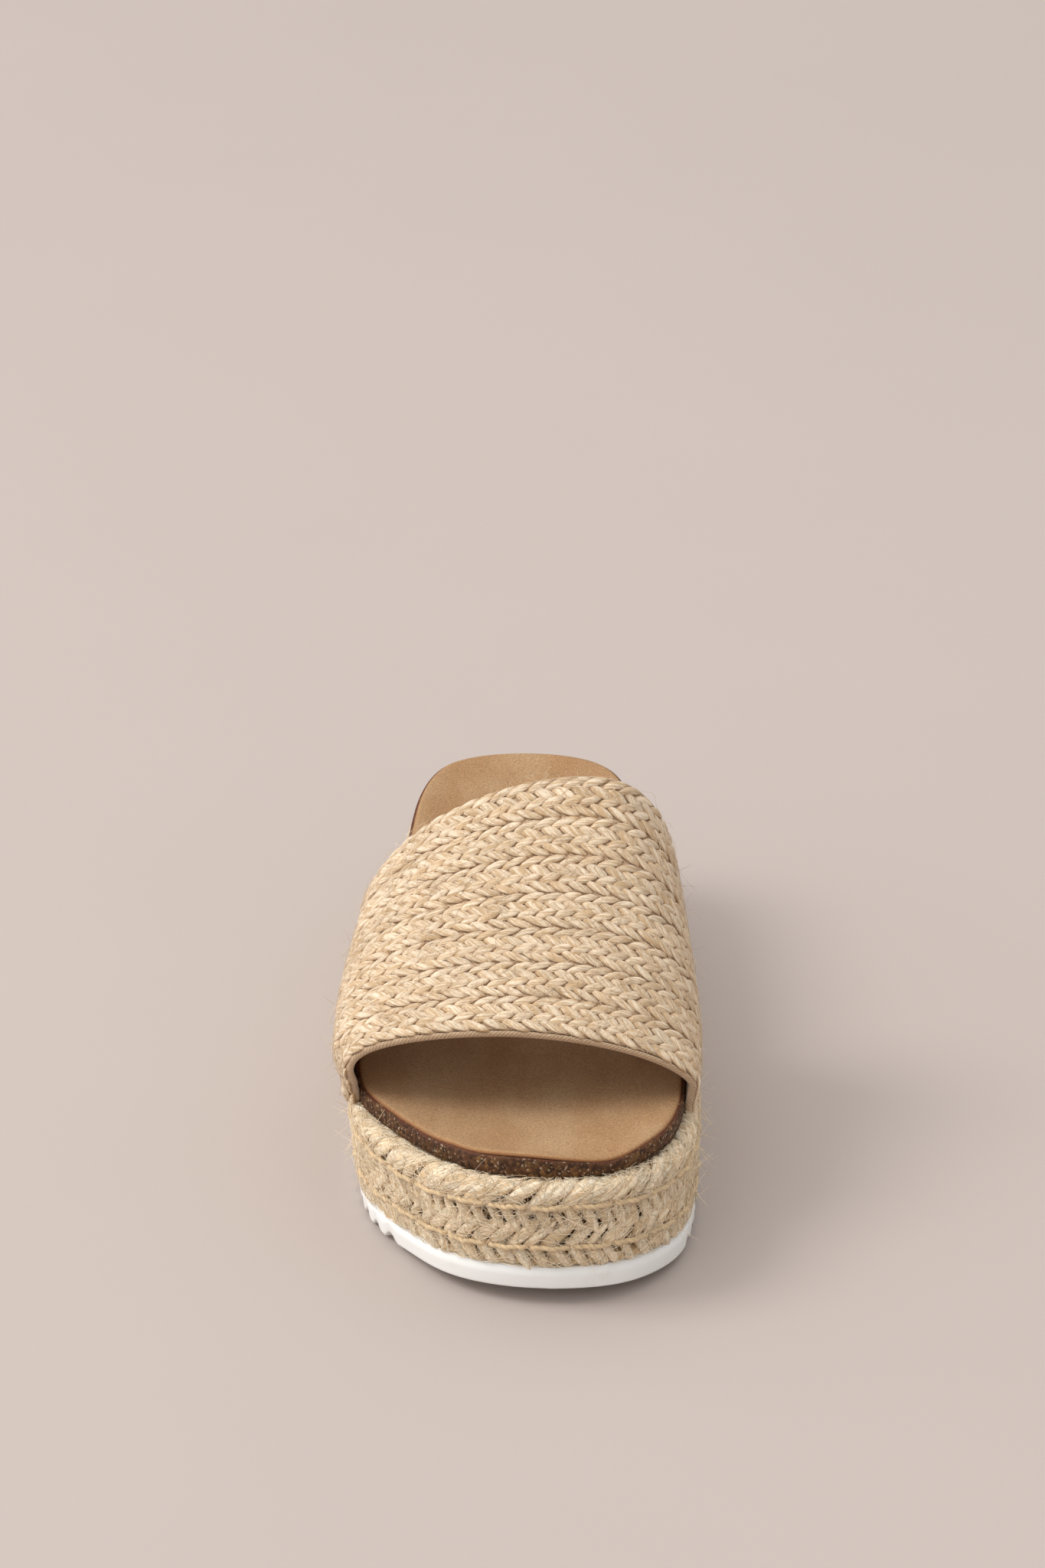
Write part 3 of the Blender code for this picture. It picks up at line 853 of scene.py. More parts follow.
def yarn_group():
    """Fibres of a strand: noise drawn out along it, fine and broad, with a furrow between its plies."""
    tree, nodes, given, wanted = node_group(
        "Yarn fibres", (("Yarn", VECTOR), ("Fine", NUMBER), ("Ply", NUMBER)), ("Streak", "Height"))
    thin = nodes.stretched(given["Yarn"], (120.0, 2600.0, 2600.0))
    fine = nodes.noise(thin, given["Fine"], detail=3.0, roughness=0.6)
    broad = nodes.noise(nodes.stretched(given["Yarn"], (80.0, 900.0, 900.0)), given["Fine"])
    across = nodes.add("ShaderNodeSeparateXYZ", None, Vector=given["Yarn"]).outputs[1]
    furrow = nodes.maths("SUBTRACT", 1.0, nodes.ramp(nodes.maths("ABSOLUTE", across), 0.0, 0.00028))
    furrow = nodes.maths("MULTIPLY", furrow, given["Ply"])
    streak = nodes.maths("ADD", nodes.maths("MULTIPLY", fine, 0.65), nodes.maths("MULTIPLY", broad, 0.35))
    # Painted shade: the furrow between the plies darkens the streak, as well as cutting a groove in the
    # height
    streak = nodes.maths("SUBTRACT", nodes.ramp(streak, 0.40, 0.60), furrow)
    height = nodes.maths("SUBTRACT", nodes.maths("ADD", nodes.maths("MULTIPLY", fine, 0.6), broad), furrow)
    tree.links.new(streak, wanted["Streak"])
    tree.links.new(height, wanted["Height"])
    return tree


# Directions of matted fibres, in radians
MAT_TURNS = (0.35, 0.95, 1.75, 2.55)


def matted_group():
    """Fibres that lie across each other on an unrolled face: lines of stretched noise, turned four ways."""
    tree, nodes, given, wanted = node_group(
        "Matted fibres", (("Place", VECTOR), ("Fine", NUMBER)), ("Pale", "ShadedGap"))
    # Painted light: the yarn lifts the lines as a painted highlight, and the spaces between them are darkened
    # as painted shade
    pale = shaded_gap = 0.0
    for turn in MAT_TURNS:
        turned = nodes.add("ShaderNodeVectorRotate", {"rotation_type": "Z_AXIS"}, Vector=given["Place"],
                           Angle=turn).outputs[0]
        line = nodes.noise(nodes.stretched(turned, (190.0, 2400.0, 1.0)), given["Fine"])
        pale = nodes.maths("MAXIMUM", pale, nodes.ramp(line, 0.60, 0.70))
        shaded_gap = nodes.maths("MAXIMUM", shaded_gap, nodes.ramp(line, 0.37, 0.28))
    tree.links.new(pale, wanted["Pale"])
    tree.links.new(shaded_gap, wanted["ShadedGap"])
    return tree


def mottle_group():
    """Slow change of brightness over an object: two sizes of soft noise about 1."""
    tree, nodes, given, wanted = node_group(
        "Soft mottle", (("Place", VECTOR), ("Scale", NUMBER), ("Depth", NUMBER)), ("Factor",))
    broad = nodes.noise(given["Place"], given["Scale"])
    small = nodes.noise(given["Place"], nodes.maths("MULTIPLY", given["Scale"], 4.3))
    both = nodes.maths("ADD", nodes.maths("MULTIPLY", broad, 0.65), nodes.maths("MULTIPLY", small, 0.35))
    depth = nodes.maths("MULTIPLY", given["Depth"], 2.0)
    swing = nodes.maths("MULTIPLY", nodes.maths("SUBTRACT", both, 0.5), depth)
    tree.links.new(nodes.maths("ADD", swing, 1.0), wanted["Factor"])
    return tree


def grain_group():
    """Fine even grain: nap of suede, crumb of cork, skin of foam."""
    tree, nodes, given, wanted = node_group(
        "Fine grain", (("Place", VECTOR), ("Scale", NUMBER)), ("Grain", "Height"))
    grain = nodes.noise(given["Place"], given["Scale"], detail=4.0, roughness=0.7)
    coarse = nodes.noise(given["Place"], nodes.maths("MULTIPLY", given["Scale"], 0.22))
    tree.links.new(nodes.ramp(grain, 0.3, 0.7), wanted["Grain"])
    height = nodes.maths("ADD", nodes.maths("MULTIPLY", grain, 0.7), nodes.maths("MULTIPLY", coarse, 0.6))
    tree.links.new(height, wanted["Height"])
    return tree


class Finishes:
    """Node groups and materials, each made once."""

    def __init__(self):
        self.groups = {}
        self.materials = {}

    def group(self, key, make):
        """Node group of a key, made the first time."""
        if key not in self.groups:
            self.groups[key] = make()
        return self.groups[key]

    def material(self, key, make, *colours, **values):
        """Material of a key, made the first time; the key is its name."""
        if key not in self.materials:
            self.materials[key] = make(key, *colours, **values)
        return self.materials[key]


FINISHES = Finishes()


def principled(name, roughness, specular, sheen=0.0):
    """New material with its plain values set on the shader itself; gives its nodes helper and the shader."""
    material = bpy.data.materials.new(name)
    material.use_nodes = True
    shader = material.node_tree.nodes["Principled BSDF"]
    shader.inputs["Roughness"].default_value = roughness
    shader.inputs["Specular IOR Level"].default_value = specular
    shader.inputs["Sheen Weight"].default_value = sheen
    shader.inputs["Sheen Roughness"].default_value = 0.6
    return material, Nodes(material.node_tree), shader


def set_colour(nodes, shader, base):
    """Links a colour that changes over the surface to the shader."""
    nodes.tree.links.new(base, shader.inputs["Base Color"])


def set_bump(nodes, shader, height, strength, distance):
    """Links a height to the shader's normal through a bump node."""
    bump = nodes.add("ShaderNodeBump", None, Strength=strength, Distance=distance, Height=height)
    nodes.tree.links.new(bump.outputs[0], shader.inputs["Normal"])


def times(nodes, base, factor):
    """Colour with its brightness multiplied by a value that changes over the surface."""
    grey = nodes.add("ShaderNodeCombineColor", None, i0=factor, i1=factor, i2=factor).outputs[0]
    return nodes.mix(1.0, base, grey, "MULTIPLY")


def object_place(nodes):
    """Place on a piece in its own coordinates, which are those of the frame."""
    return nodes.add("ShaderNodeTexCoord").outputs["Object"]


# Painted shade: tint that darkens the deepest furrows between strands, where shade falls
FURROW_SHADE = (0.75, 0.60, 0.45)


def yarn_material(name, light, dark, fine, ply, mottle, bump, matting):
    """Jute yarn: dark and light streaks along the strand, each strand with its own tone, matted over."""
    material, nodes, shader = principled(name, roughness=0.78, specular=0.25, sheen=0.15)
    yarn = nodes.attribute("yarn", "Vector")
    fibres = nodes.group(FINISHES.group("yarn", yarn_group), Yarn=yarn, Fine=fine, Ply=ply)
    base = nodes.mix(fibres["Streak"], dark, light)
    flat = nodes.attribute("flat", "Vector")
    mat = nodes.group(FINISHES.group("matted", matted_group), Place=flat, Fine=fine)
    # Painted shade and highlight: a shaded copy of the dark yarn goes into the gaps between matted fibres,
    # and a lit copy of the light yarn onto their lines
    shaded = [x * 0.45 for x in dark]
    lit = [min(1.0, x * 1.12) for x in light]
    base = nodes.mix(nodes.maths("MULTIPLY", mat["ShadedGap"], 0.7 * matting), base, shaded)
    base = nodes.mix(nodes.maths("MULTIPLY", mat["Pale"], 0.7 * matting), base, lit)
    # Painted shade: the furrows between strands are darkened towards the furrow tint as far as the deep
    # attribute says
    base = nodes.mix(nodes.attribute("deep", "Fac"), base, FURROW_SHADE, "MULTIPLY")
    place = object_place(nodes)
    slow = nodes.group(FINISHES.group("mottle", mottle_group), Place=place, Scale=90.0, Depth=mottle)
    tone = nodes.maths("MULTIPLY", slow["Factor"], nodes.attribute("tone", "Fac"))
    set_colour(nodes, shader, times(nodes, base, tone))
    height = nodes.maths("ADD", fibres["Height"], nodes.maths("MULTIPLY", mat["Pale"], matting))
    set_bump(nodes, shader, height, strength=bump, distance=0.0004)
    return material


def plain_fibre_material(name, light, dark):
    """Loose jute fibres: a thin pale hair whose tone changes from one to the next."""
    material, nodes, shader = principled(name, roughness=0.6, specular=0.3)
    set_colour(nodes, shader, times(nodes, nodes.mix(nodes.attribute("shade", "Fac"), dark, light),
                                    nodes.attribute("tone", "Fac")))
    return material


def core_shade_material(name, dark, lit):
    """Matted backing under the wrap: dark and uneven painted shade, and jute-coloured where the top attribute
    is 1.
    """
    material, nodes, shader = principled(name, roughness=0.95, specular=0.1)
    place = object_place(nodes)
    grain = nodes.group(FINISHES.group("grain", grain_group), Place=place, Scale=900.0)
    slow = nodes.group(FINISHES.group("mottle", mottle_group), Place=place, Scale=160.0, Depth=0.5)
    base = nodes.mix(grain["Grain"], [x * 0.5 for x in dark], dark)
    mat = nodes.group(FINISHES.group("matted", matted_group), Place=place, Fine=1.0)
    # Painted shade: a shaded copy of the jute colour goes into the gaps between matted fibres
    top = nodes.mix(nodes.maths("MULTIPLY", mat["ShadedGap"], 0.8), lit, [x * 0.35 for x in lit])
    base = nodes.mix(nodes.attribute("top", "Fac"), base, top)
    set_colour(nodes, shader, times(nodes, base, slow["Factor"]))
    set_bump(nodes, shader, nodes.maths("ADD", grain["Height"], mat["Pale"]), strength=0.6, distance=0.001)
    return material


def suede_material(name, nap, shade, edge):
    """Suede: a fine nap with brushed patches, and a darker cut edge."""
    material, nodes, shader = principled(name, roughness=0.9, specular=0.08, sheen=0.03)
    place = object_place(nodes)
    grain = nodes.group(FINISHES.group("grain", grain_group), Place=place, Scale=1900.0)
    slow = nodes.group(FINISHES.group("mottle", mottle_group), Place=place, Scale=24.0, Depth=0.10)
    strokes = nodes.noise(nodes.stretched(place, (60.0, 26.0, 26.0)), 1.0, detail=3.0, roughness=0.55)
    base = nodes.mix(nodes.ramp(strokes, 0.35, 0.7), shade, nap)
    base = times(nodes, base, nodes.ramp(grain["Grain"], 0.0, 1.0, 0.76, 1.18))
    rim = nodes.maths("SUBTRACT", 1.0, nodes.ramp(nodes.attribute("edge", "Fac"), 0.0, 0.0006))
    base = nodes.mix(nodes.maths("MULTIPLY", rim, 0.75), base, edge)
    set_colour(nodes, shader, times(nodes, base, slow["Factor"]))
    set_bump(nodes, shader, grain["Height"], strength=0.35, distance=0.0003)
    return material


def cork_material(name, ground, fleck, crumb, line):
    """Pressed cork: angular granules of brown, some pale, a few crumbs, and a stained line along its top."""
    material, nodes, shader = principled(name, roughness=0.72, specular=0.3)
    place = object_place(nodes)
    granules = nodes.add("ShaderNodeTexVoronoi", None, Vector=place, Scale=880.0)
    shade = nodes.add("ShaderNodeSeparateColor", None, Color=granules.outputs["Color"]).outputs
    base = times(nodes, ground, nodes.ramp(shade[0], 0.0, 1.0, 0.55, 1.5))
    patches = nodes.ramp(nodes.noise(place, 170.0, detail=3.0, roughness=0.6), 0.36, 0.68)
    pale = nodes.maths("MULTIPLY", nodes.ramp(shade[1], 0.50, 0.95), patches)
    base = nodes.mix(nodes.maths("MULTIPLY", pale, 0.75), base, fleck)
    chips = nodes.add("ShaderNodeTexVoronoi", None, Vector=place, Scale=1900.0)
    chip = nodes.add("ShaderNodeSeparateColor", None, Color=chips.outputs["Color"]).outputs[2]
    base = nodes.mix(nodes.maths("MULTIPLY", nodes.ramp(chip, 0.91, 0.96), 0.5), base, crumb)
    uneven = nodes.maths("MULTIPLY", nodes.noise(place, 260.0), 0.28)
    height = nodes.maths("ADD", nodes.attribute("rise", "Fac"), nodes.maths("SUBTRACT", uneven, 0.14))
    base = nodes.mix(nodes.maths("MULTIPLY", nodes.ramp(height, 0.90, 1.0), 0.85), base, line)
    set_colour(nodes, shader, base)
    grain = nodes.group(FINISHES.group("grain", grain_group), Place=place, Scale=1100.0)
    bumps = nodes.maths("ADD", grain["Height"], nodes.maths("MULTIPLY", granules.outputs["Distance"], -0.8))
    set_bump(nodes, shader, bumps, strength=0.5, distance=0.0006)
    return material


def foam_material(name, white, soil):
    """White foam rubber: a fine skin with faint soiled places."""
    material, nodes, shader = principled(name, roughness=0.55, specular=0.35)
    place = object_place(nodes)
    grain = nodes.group(FINISHES.group("grain", grain_group), Place=place, Scale=2600.0)
    soiled = nodes.ramp(nodes.noise(place, 75.0, detail=4.0, roughness=0.65), 0.5, 0.78)
    set_colour(nodes, shader, nodes.mix(nodes.maths("MULTIPLY", soiled, 0.55), white, soil))
    set_bump(nodes, shader, grain["Height"], strength=0.12, distance=0.0003)
    return material


def lining_material(name, cloth):
    """Woven lining: a fine diagonal twill on the band's own coordinates."""
    material, nodes, shader = principled(name, roughness=0.85, specular=0.15, sheen=0.2)
    weave = nodes.attribute("weave", "Vector")
    rib = nodes.add("ShaderNodeTexWave", {"wave_type": "BANDS", "bands_direction": "DIAGONAL"}, Vector=weave,
                    Scale=520.0, Distortion=0.6, Detail=1.0).outputs["Fac"]
    grain = nodes.group(FINISHES.group("grain", grain_group), Place=object_place(nodes), Scale=2200.0)
    base = nodes.mix(rib, [x * 0.72 for x in cloth], cloth)
    set_colour(nodes, shader, times(nodes, base, nodes.ramp(grain["Grain"], 0.0, 1.0, 0.86, 1.1)))
    set_bump(nodes, shader, nodes.maths("ADD", rib, grain["Height"]), strength=0.4, distance=0.0003)
    return material


def floor_material(name, base):
    """Plain pale floor with hardly any unevenness."""
    material, nodes, shader = principled(name, roughness=0.8, specular=0.1)
    place = object_place(nodes)
    slow = nodes.group(FINISHES.group("mottle", mottle_group), Place=place, Scale=2.5, Depth=0.03)
    set_colour(nodes, shader, times(nodes, base, slow["Factor"]))
    return material


# Pieces of the sole

INSOLE_STANDS_OUT = 0.0008

# Stations of cork and suede, and of the wrap's backing
SOLE_RINGS = np.linspace(0, 1, 161)
CORE_RINGS = np.linspace(0, 1, 121)

# Rim round the toe, as height, place across the foot from the toe tip, and reach; and where it fades
RIM_HIGH = (0.0012, -0.009, 0.013)
RIM_LOW = (0.0013, 0.0165, 0.010)
RIM_FADES = 0.030


def toe_wave(turn):
    """Rise of the rim round the toe: high a little to the lateral side of the tip, low on its medial side.

    Both are bell curves in the distance across the foot from the tip, and they fade out behind the toe.
    """
    station, _ = fold(turn)
    across = outline_at(turn)[..., 0] - outline_at(0.0)[0]
    high, low = (height * swell(across, middle, reach) for height, middle, reach in (RIM_HIGH, RIM_LOW))
    return (high - low) * (1 - ease(behind_toe_of(station) / RIM_FADES))


def sole_turns(stations):
    """Turns in ring order from stations: toe to heel by the medial side, then back by the lateral side."""
    return np.concatenate([stations, 2 - stations[-2:0:-1]])


def both_sides(values):
    """Values at stations in ring order, the same on both sides."""
    return np.concatenate([values, values[-2:0:-1]])


class ESPADRILLE_OT_outsole(Operator):
    """White foam sheet with ripple teeth across its underside and softly rounded edges.

    Rings round the sole: a quarter circle over the teeth's underside, then a straight side up to the top.
    """

    bl_idname = "espadrille.outsole"
    bl_label = "Outsole"

    def execute(self, context):
        settings = context.scene.espadrille_sole
        teeth = int((TEETH_END - TEETH_START) / TOOTH_PITCH)
        phase, depth = np.array(TOOTH_SIDE).T
        toe = np.linspace(0, station_of(TEETH_START), OUTSOLE_TOE_STATIONS, endpoint=False)
        middle = station_of((TEETH_START + TOOTH_PITCH * (np.arange(teeth)[:, None] + phase)).ravel())
        heel = np.linspace(station_of(TEETH_START + TOOTH_PITCH * teeth), 1, OUTSOLE_HEEL_STATIONS)
        stations = np.concatenate([toe, middle, heel])
        turns = sole_turns(stations)
        cut = both_sides(np.concatenate([0 * toe, np.tile(depth * TOOTH_DEPTH, teeth), 0 * heel]))
        floor = both_sides(spring(behind_toe_of(stations)))
        top = floor + OUTSOLE_THICKNESS
        rings = []
        for angle in np.linspace(0, np.pi / 2, OUTSOLE_ROUND_RINGS):
            inset = OUTSOLE_ROUND * (1 - np.sin(angle))
            height = floor + cut + OUTSOLE_ROUND * (1 - np.cos(angle))
            rings.append(ring_at(turns, side_offset(turns, 0.0) - inset, height))
        low = floor + cut + OUTSOLE_ROUND
        for share in (0.5, 1.0):
            rings.append(ring_at(turns, side_offset(turns, OUTSOLE_SHARE * share), low + (top - low) * share))
        flat = np.zeros(len(stations))
        points, quads, tips = slab(rings, bottom_columns=4, top_columns=4, bottom_sag=flat, top_sag=flat)
        made = make_mesh("outsole_foam", points, quads, tips)
        material = FINISHES.material("white_foam", foam_material, settings.foam, settings.foam_soil)
        dress(made, material, "foam_white", "outsole")
        return {"FINISHED"}


class ESPADRILLE_OT_footbed(Operator):
    """Cork layer with a cupped top and a softened rim.

    Rings outside the insole's edge at the shares of CORK_SIDE, from the wrap's top to just under the suede.
    """

    bl_idname = "espadrille.footbed"
    bl_label = "Footbed"

    def execute(self, context):
        settings = context.scene.espadrille_sole
        turns = sole_turns(SOLE_RINGS)
        behind_toe = behind_toe_of(SOLE_RINGS)
        base = both_sides(wrap_top(behind_toe)) + SEAT_GAP
        top = base - SEAT_GAP + side_level("rise", turns) + toe_wave(turns) - INSOLE_STANDS_OUT
        rings = []
        rises = []
        for share, out in CORK_SIDE:
            offset = CORK_OVER_INSOLE + out - toe_slant(turns)
            rings.append(ring_at(turns, offset, base + (top - base) * share))
            rises.append(np.full(len(turns), share))
        flat = np.zeros(len(SOLE_RINGS))
        cup = level("cup", behind_toe)
        points, quads, tips = slab(rings, bottom_columns=2, top_columns=12, bottom_sag=flat, top_sag=cup)
        rise = on_rings(rises, 0.0, len(points))
        made = make_mesh("footbed_cork", points, quads, tips, {"rise": rise})
        material = FINISHES.material("cork", cork_material, settings.cork, settings.cork_fleck,
                                     settings.cork_chip, settings.cork_line)
        dress(made, material, "cork", "footbed")
        return {"FINISHED"}


class ESPADRILLE_OT_insole(Operator):
    """Suede sock laid in the cork, its cut edge turned down a little.

    Rings inside the insole's edge at the shares of SUEDE_EDGE, with sheets that sag by the cup.
    """

    bl_idname = "espadrille.insole"
    bl_label = "Insole"

    def execute(self, context):
        settings = context.scene.espadrille_sole
        turns = sole_turns(SOLE_RINGS)
        behind_toe = behind_toe_of(SOLE_RINGS)
        top = both_sides(wrap_top(behind_toe)) + side_level("rise", turns) + toe_wave(turns)
        rings = []
        edges = []
        for drop, inset in SUEDE_EDGE:
            rings.append(ring_at(turns, -inset - toe_slant(turns), top - INSOLE_THICKNESS * drop))
            edges.append(np.full(len(turns), inset))
        cup = level("cup", behind_toe)
        points, quads, tips = slab(rings, bottom_columns=24, top_columns=24, bottom_sag=cup, top_sag=cup)
        edge = on_rings(edges, 2 * SUEDE_EDGE[-1][1], len(points))
        made = make_mesh("insole_suede", points, quads, tips, {"edge": edge})
        material = FINISHES.material("suede", suede_material, settings.suede, settings.suede_dark,
                                     settings.suede_edge)
        dress(made, material, "suede", "insole")
        return {"FINISHED"}


# Pieces of the wrap

# Points along a leaf and round it, its two lobes as a share of its size, spread of the leaves' tones, and
# length of yarn in which their patterns start
LEAF_POINTS = 10
LEAF_SIDES = 8
LEAF_LOBES = 0.05
LEAF_TONE_SPREAD = 0.035
YARN_STARTS = 3

# Depths under the wrap's face: strands, backing behind them, and backing where it shows
WRAP_DEPTH = 0.0018
CORE_DEPTH = 0.0025
LEDGE_DEPTH = 0.0012

# Backing: height share where it ends, how jute-coloured its sides are, and heights past which its top and its
# foot turn from painted shade to jute colour over a run
CORE_TOP = 1.20
CORE_MATTED = 0.8
CORE_LIT_TOP = 0.90
CORE_LIT_FOOT = 0.16
CORE_LIT_RUN = 0.12

# A wrap leaf's ends: share of the width lost and its power, share of the thickness lost, and sinking in lifts
WRAP_NARROWS = (0.72, 2.6)
WRAP_FLATTENS = 0.40
WRAP_SINKS = 2
WRAP_TWIST = 0.030

# Unevenness of wrap leaves, as standard deviations: place in pitches, run, height share, depth and width;
# and how many deviations a leaf's looseness and raggedness may have
WRAP_UNEVEN = (0.09, 0.12, 0.010, 0.00012, 0.06)
MOST_LOOSE = 1.6
MOST_RAGGED = 1.3

# Matted sides of the wrap: what is left there of the front's looseness, and the part of the lift that stays
SIDE_LOOSE = 0.30
SIDE_LIFT = 0.45

# Painted shade in the wrap's furrows: its least strength, what the front adds, the depth where it starts,
# and the depth over which it grows full
FURROW_SHADE_LEAST = 0.10
FURROW_SHADE_FRONT = 0.46
FURROW_SHADE_START = 0.00040
FURROW_SHADE_RUN = 0.0012


def through_three(values, t):
    """Parabola through three values at t = -1, 0 and 1."""
    start, middle, end = values
    return middle + (end - start) / 2 * t + ((end + start) / 2 - middle) * t * t


def leaf_shape(narrows, flattens):
    """Shares t along a leaf, from -1 to 1, width 1 - loss * |t|**power, and thickness 1 - loss * |t|**3."""
    t = np.linspace(-1, 1, LEAF_POINTS)
    loss, power = narrows
    return t, 1 - loss * np.abs(t) ** power, 1 - flattens * np.abs(t) ** 3


class ESPADRILLE_OT_wrap_core(Operator):
    """Matted backing that fills the platform behind its braids, dark painted shade at the toe and
    jute-coloured elsewhere.

    Rings of the wrap's face, set back by a depth that grows where the backing is dark.
    """

    bl_idname = "espadrille.wrap_core"
    bl_label = "Wrap backing"

    def execute(self, context):
        settings = context.scene.espadrille_wrap
        turns = sole_turns(CORE_RINGS)
        rings = []
        tops = []
        matted = CORE_MATTED * (1 - frontness(np.interp(turns, LOOP_TURNS, LOOP_RUN) / LOOP_LENGTH))
        for share in np.linspace(0.0, CORE_TOP, 25):
            lit_top = ease((share - CORE_LIT_TOP) / CORE_LIT_RUN)
            lit_foot = ease((CORE_LIT_FOOT - share) / CORE_LIT_RUN)
            lit = np.maximum(matted, max(lit_top, lit_foot))
            rings.append(wall(turns, share, CORE_DEPTH + (LEDGE_DEPTH - CORE_DEPTH) * lit)[0])
            tops.append(lit)
        flat = np.zeros(len(CORE_RINGS))
        points, quads, tips = slab(rings, bottom_columns=2, top_columns=2, bottom_sag=flat, top_sag=flat)
        made = make_mesh("wrap_core", points, quads, tips, {"top": on_rings(tops, 1.0, len(points))})
        material = FINISHES.material("matted_core", core_shade_material, settings.core, settings.dark)
        dress(made, material, "jute_wrap", "midsole")
        return {"FINISHED"}


class ESPADRILLE_OT_wrap_braids(Operator):
    """Two flat plaits round the platform, each of two rows of overlapping leaves.

    A leaf narrows as leaf_shape says, follows a parabola through its start, middle and end, and sinks at its
    ends by WRAP_SINKS * t**4 of the lift. Lift, looseness and the painted shade in the furrows are full at
    the toe and fade to the matted sides. Bell curves narrow the leaves next to a slit, and the lowest row's
    ends hang unevenly.
    """

    bl_idname = "espadrille.wrap_braids"
    bl_label = "Wrap braids"

    def execute(self, context):
        settings = context.scene.espadrille_wrap
        random = np.random.default_rng(11)
        material = FINISHES.material("wrap_yarn", yarn_material, settings.light, settings.dark, fine=0.65,
                                     ply=0.30, mottle=0.14, bump=1.4, matting=0.45)
        half_thickness = settings.strand_thickness / 2
        t, taper, flatten = leaf_shape(WRAP_NARROWS, WRAP_FLATTENS)
        by_place, by_run, by_share, by_depth, by_width = WRAP_UNEVEN
        for name, rows in WRAP_ROWS.items():
            columns = []
            for count, shares, half_run, width, loose, ragged, slits in rows:
                jitter = random.normal(0, 1, (7, count, 1))
                centre = (np.arange(count)[:, None] + 0.5 + by_place * jitter[0]) * LOOP_LENGTH / count
                front = SIDE_LOOSE + (1 - SIDE_LOOSE) * frontness(centre / LOOP_LENGTH)
                run = centre + half_run * t * (1 + by_run * jitter[1])
                hang = ragged * np.clip(np.abs(jitter[6]), 0, MOST_RAGGED)
                share = through_three(shares, t) + by_share * jitter[2] - hang * ease(t)
                # The row that turns over the wrap's top reaches in to the cork
                if shares[2] > 1:
                    share = share + toe_slant(turn_of(centre)) / WRAP_HEIGHT_TOE * np.clip(t, 0, 1)
                lift = settings.strand_lift * (SIDE_LIFT + (1 - SIDE_LIFT) * front)
                sunk = WRAP_SINKS * lift * t**4
                depth = WRAP_DEPTH - lift + sunk + by_depth * jitter[3]
                slack = loose * np.clip(jitter[5], 0, MOST_LOOSE) * front
                wide = width * taper * (1 + by_width * jitter[4] - slack)
                from_tip = np.where(centre > LOOP_LENGTH / 2, centre - LOOP_LENGTH, centre)
                for slit in slits:
                    wide = wide * (1 - SLIT_DEPTH * swell(from_tip, slit, SLIT_REACH))
                # Strength of the painted shade in the furrows: full at the toe, fading to the matted sides
                dark = np.broadcast_to(FURROW_SHADE_LEAST + FURROW_SHADE_FRONT * front, run.shape)
                columns.append((run, share, depth, sunk, wide, dark))
            run, share, depth, sunk, wide, dark = (np.concatenate(column) for column in zip(*columns))
            point, normal = wall(turn_of(run), share, depth)
            place = np.stack([run, share * WRAP_HEIGHT_TOE], -1)
            points, quads, ends, marks = strands(
                point, normal, settings.strand_width / 2 * wide, half_thickness * flatten,
                LEAF_SIDES, WRAP_TWIST, LEAF_LOBES, False,
                offset=random.uniform(0, YARN_STARTS, len(run)),
                spread=(place, wall_axes(turn_of(run), normal)))
            tone = np.repeat(1 + random.normal(0, LEAF_TONE_SPREAD, len(run)), LEAF_POINTS * LEAF_SIDES)
            # Painted shade: the deep attribute becomes the share of furrow tint, growing with depth under the
            # leaf's top
            under = marks["deep"] + np.repeat(sunk + half_thickness, LEAF_SIDES)
            marks["deep"] = ease((under - FURROW_SHADE_START) / FURROW_SHADE_RUN) * np.repeat(dark, LEAF_SIDES)
            made = make_mesh("wrap_braid_" + name, points, quads, ends, {**marks, "tone": tone})
            dress(made, material, "jute_wrap", "midsole")
        return {"FINISHED"}


# Stitch cord: points to a stitch and round it, twist and lobes, unevenness of the stitches, and depths
STITCH_POINTS = 26
CORD_SIDES = 10
CORD_TWIST = 0.0038
CORD_LOBES = 0.13
STITCH_SWAY = 0.15
STITCH_SWAYS = 5
STITCH_TILT = 0.012
STITCH_DRIFT = 0.010
STITCH_WAVES = (4, 9, 15)
STITCH_DIP = 0.0026
STITCH_DIP_REACH = 0.075
STITCH_DEPTH = 0.0001
STITCH_FRONT_LIFT = 0.0006
STITCH_ARCH = 0.0003


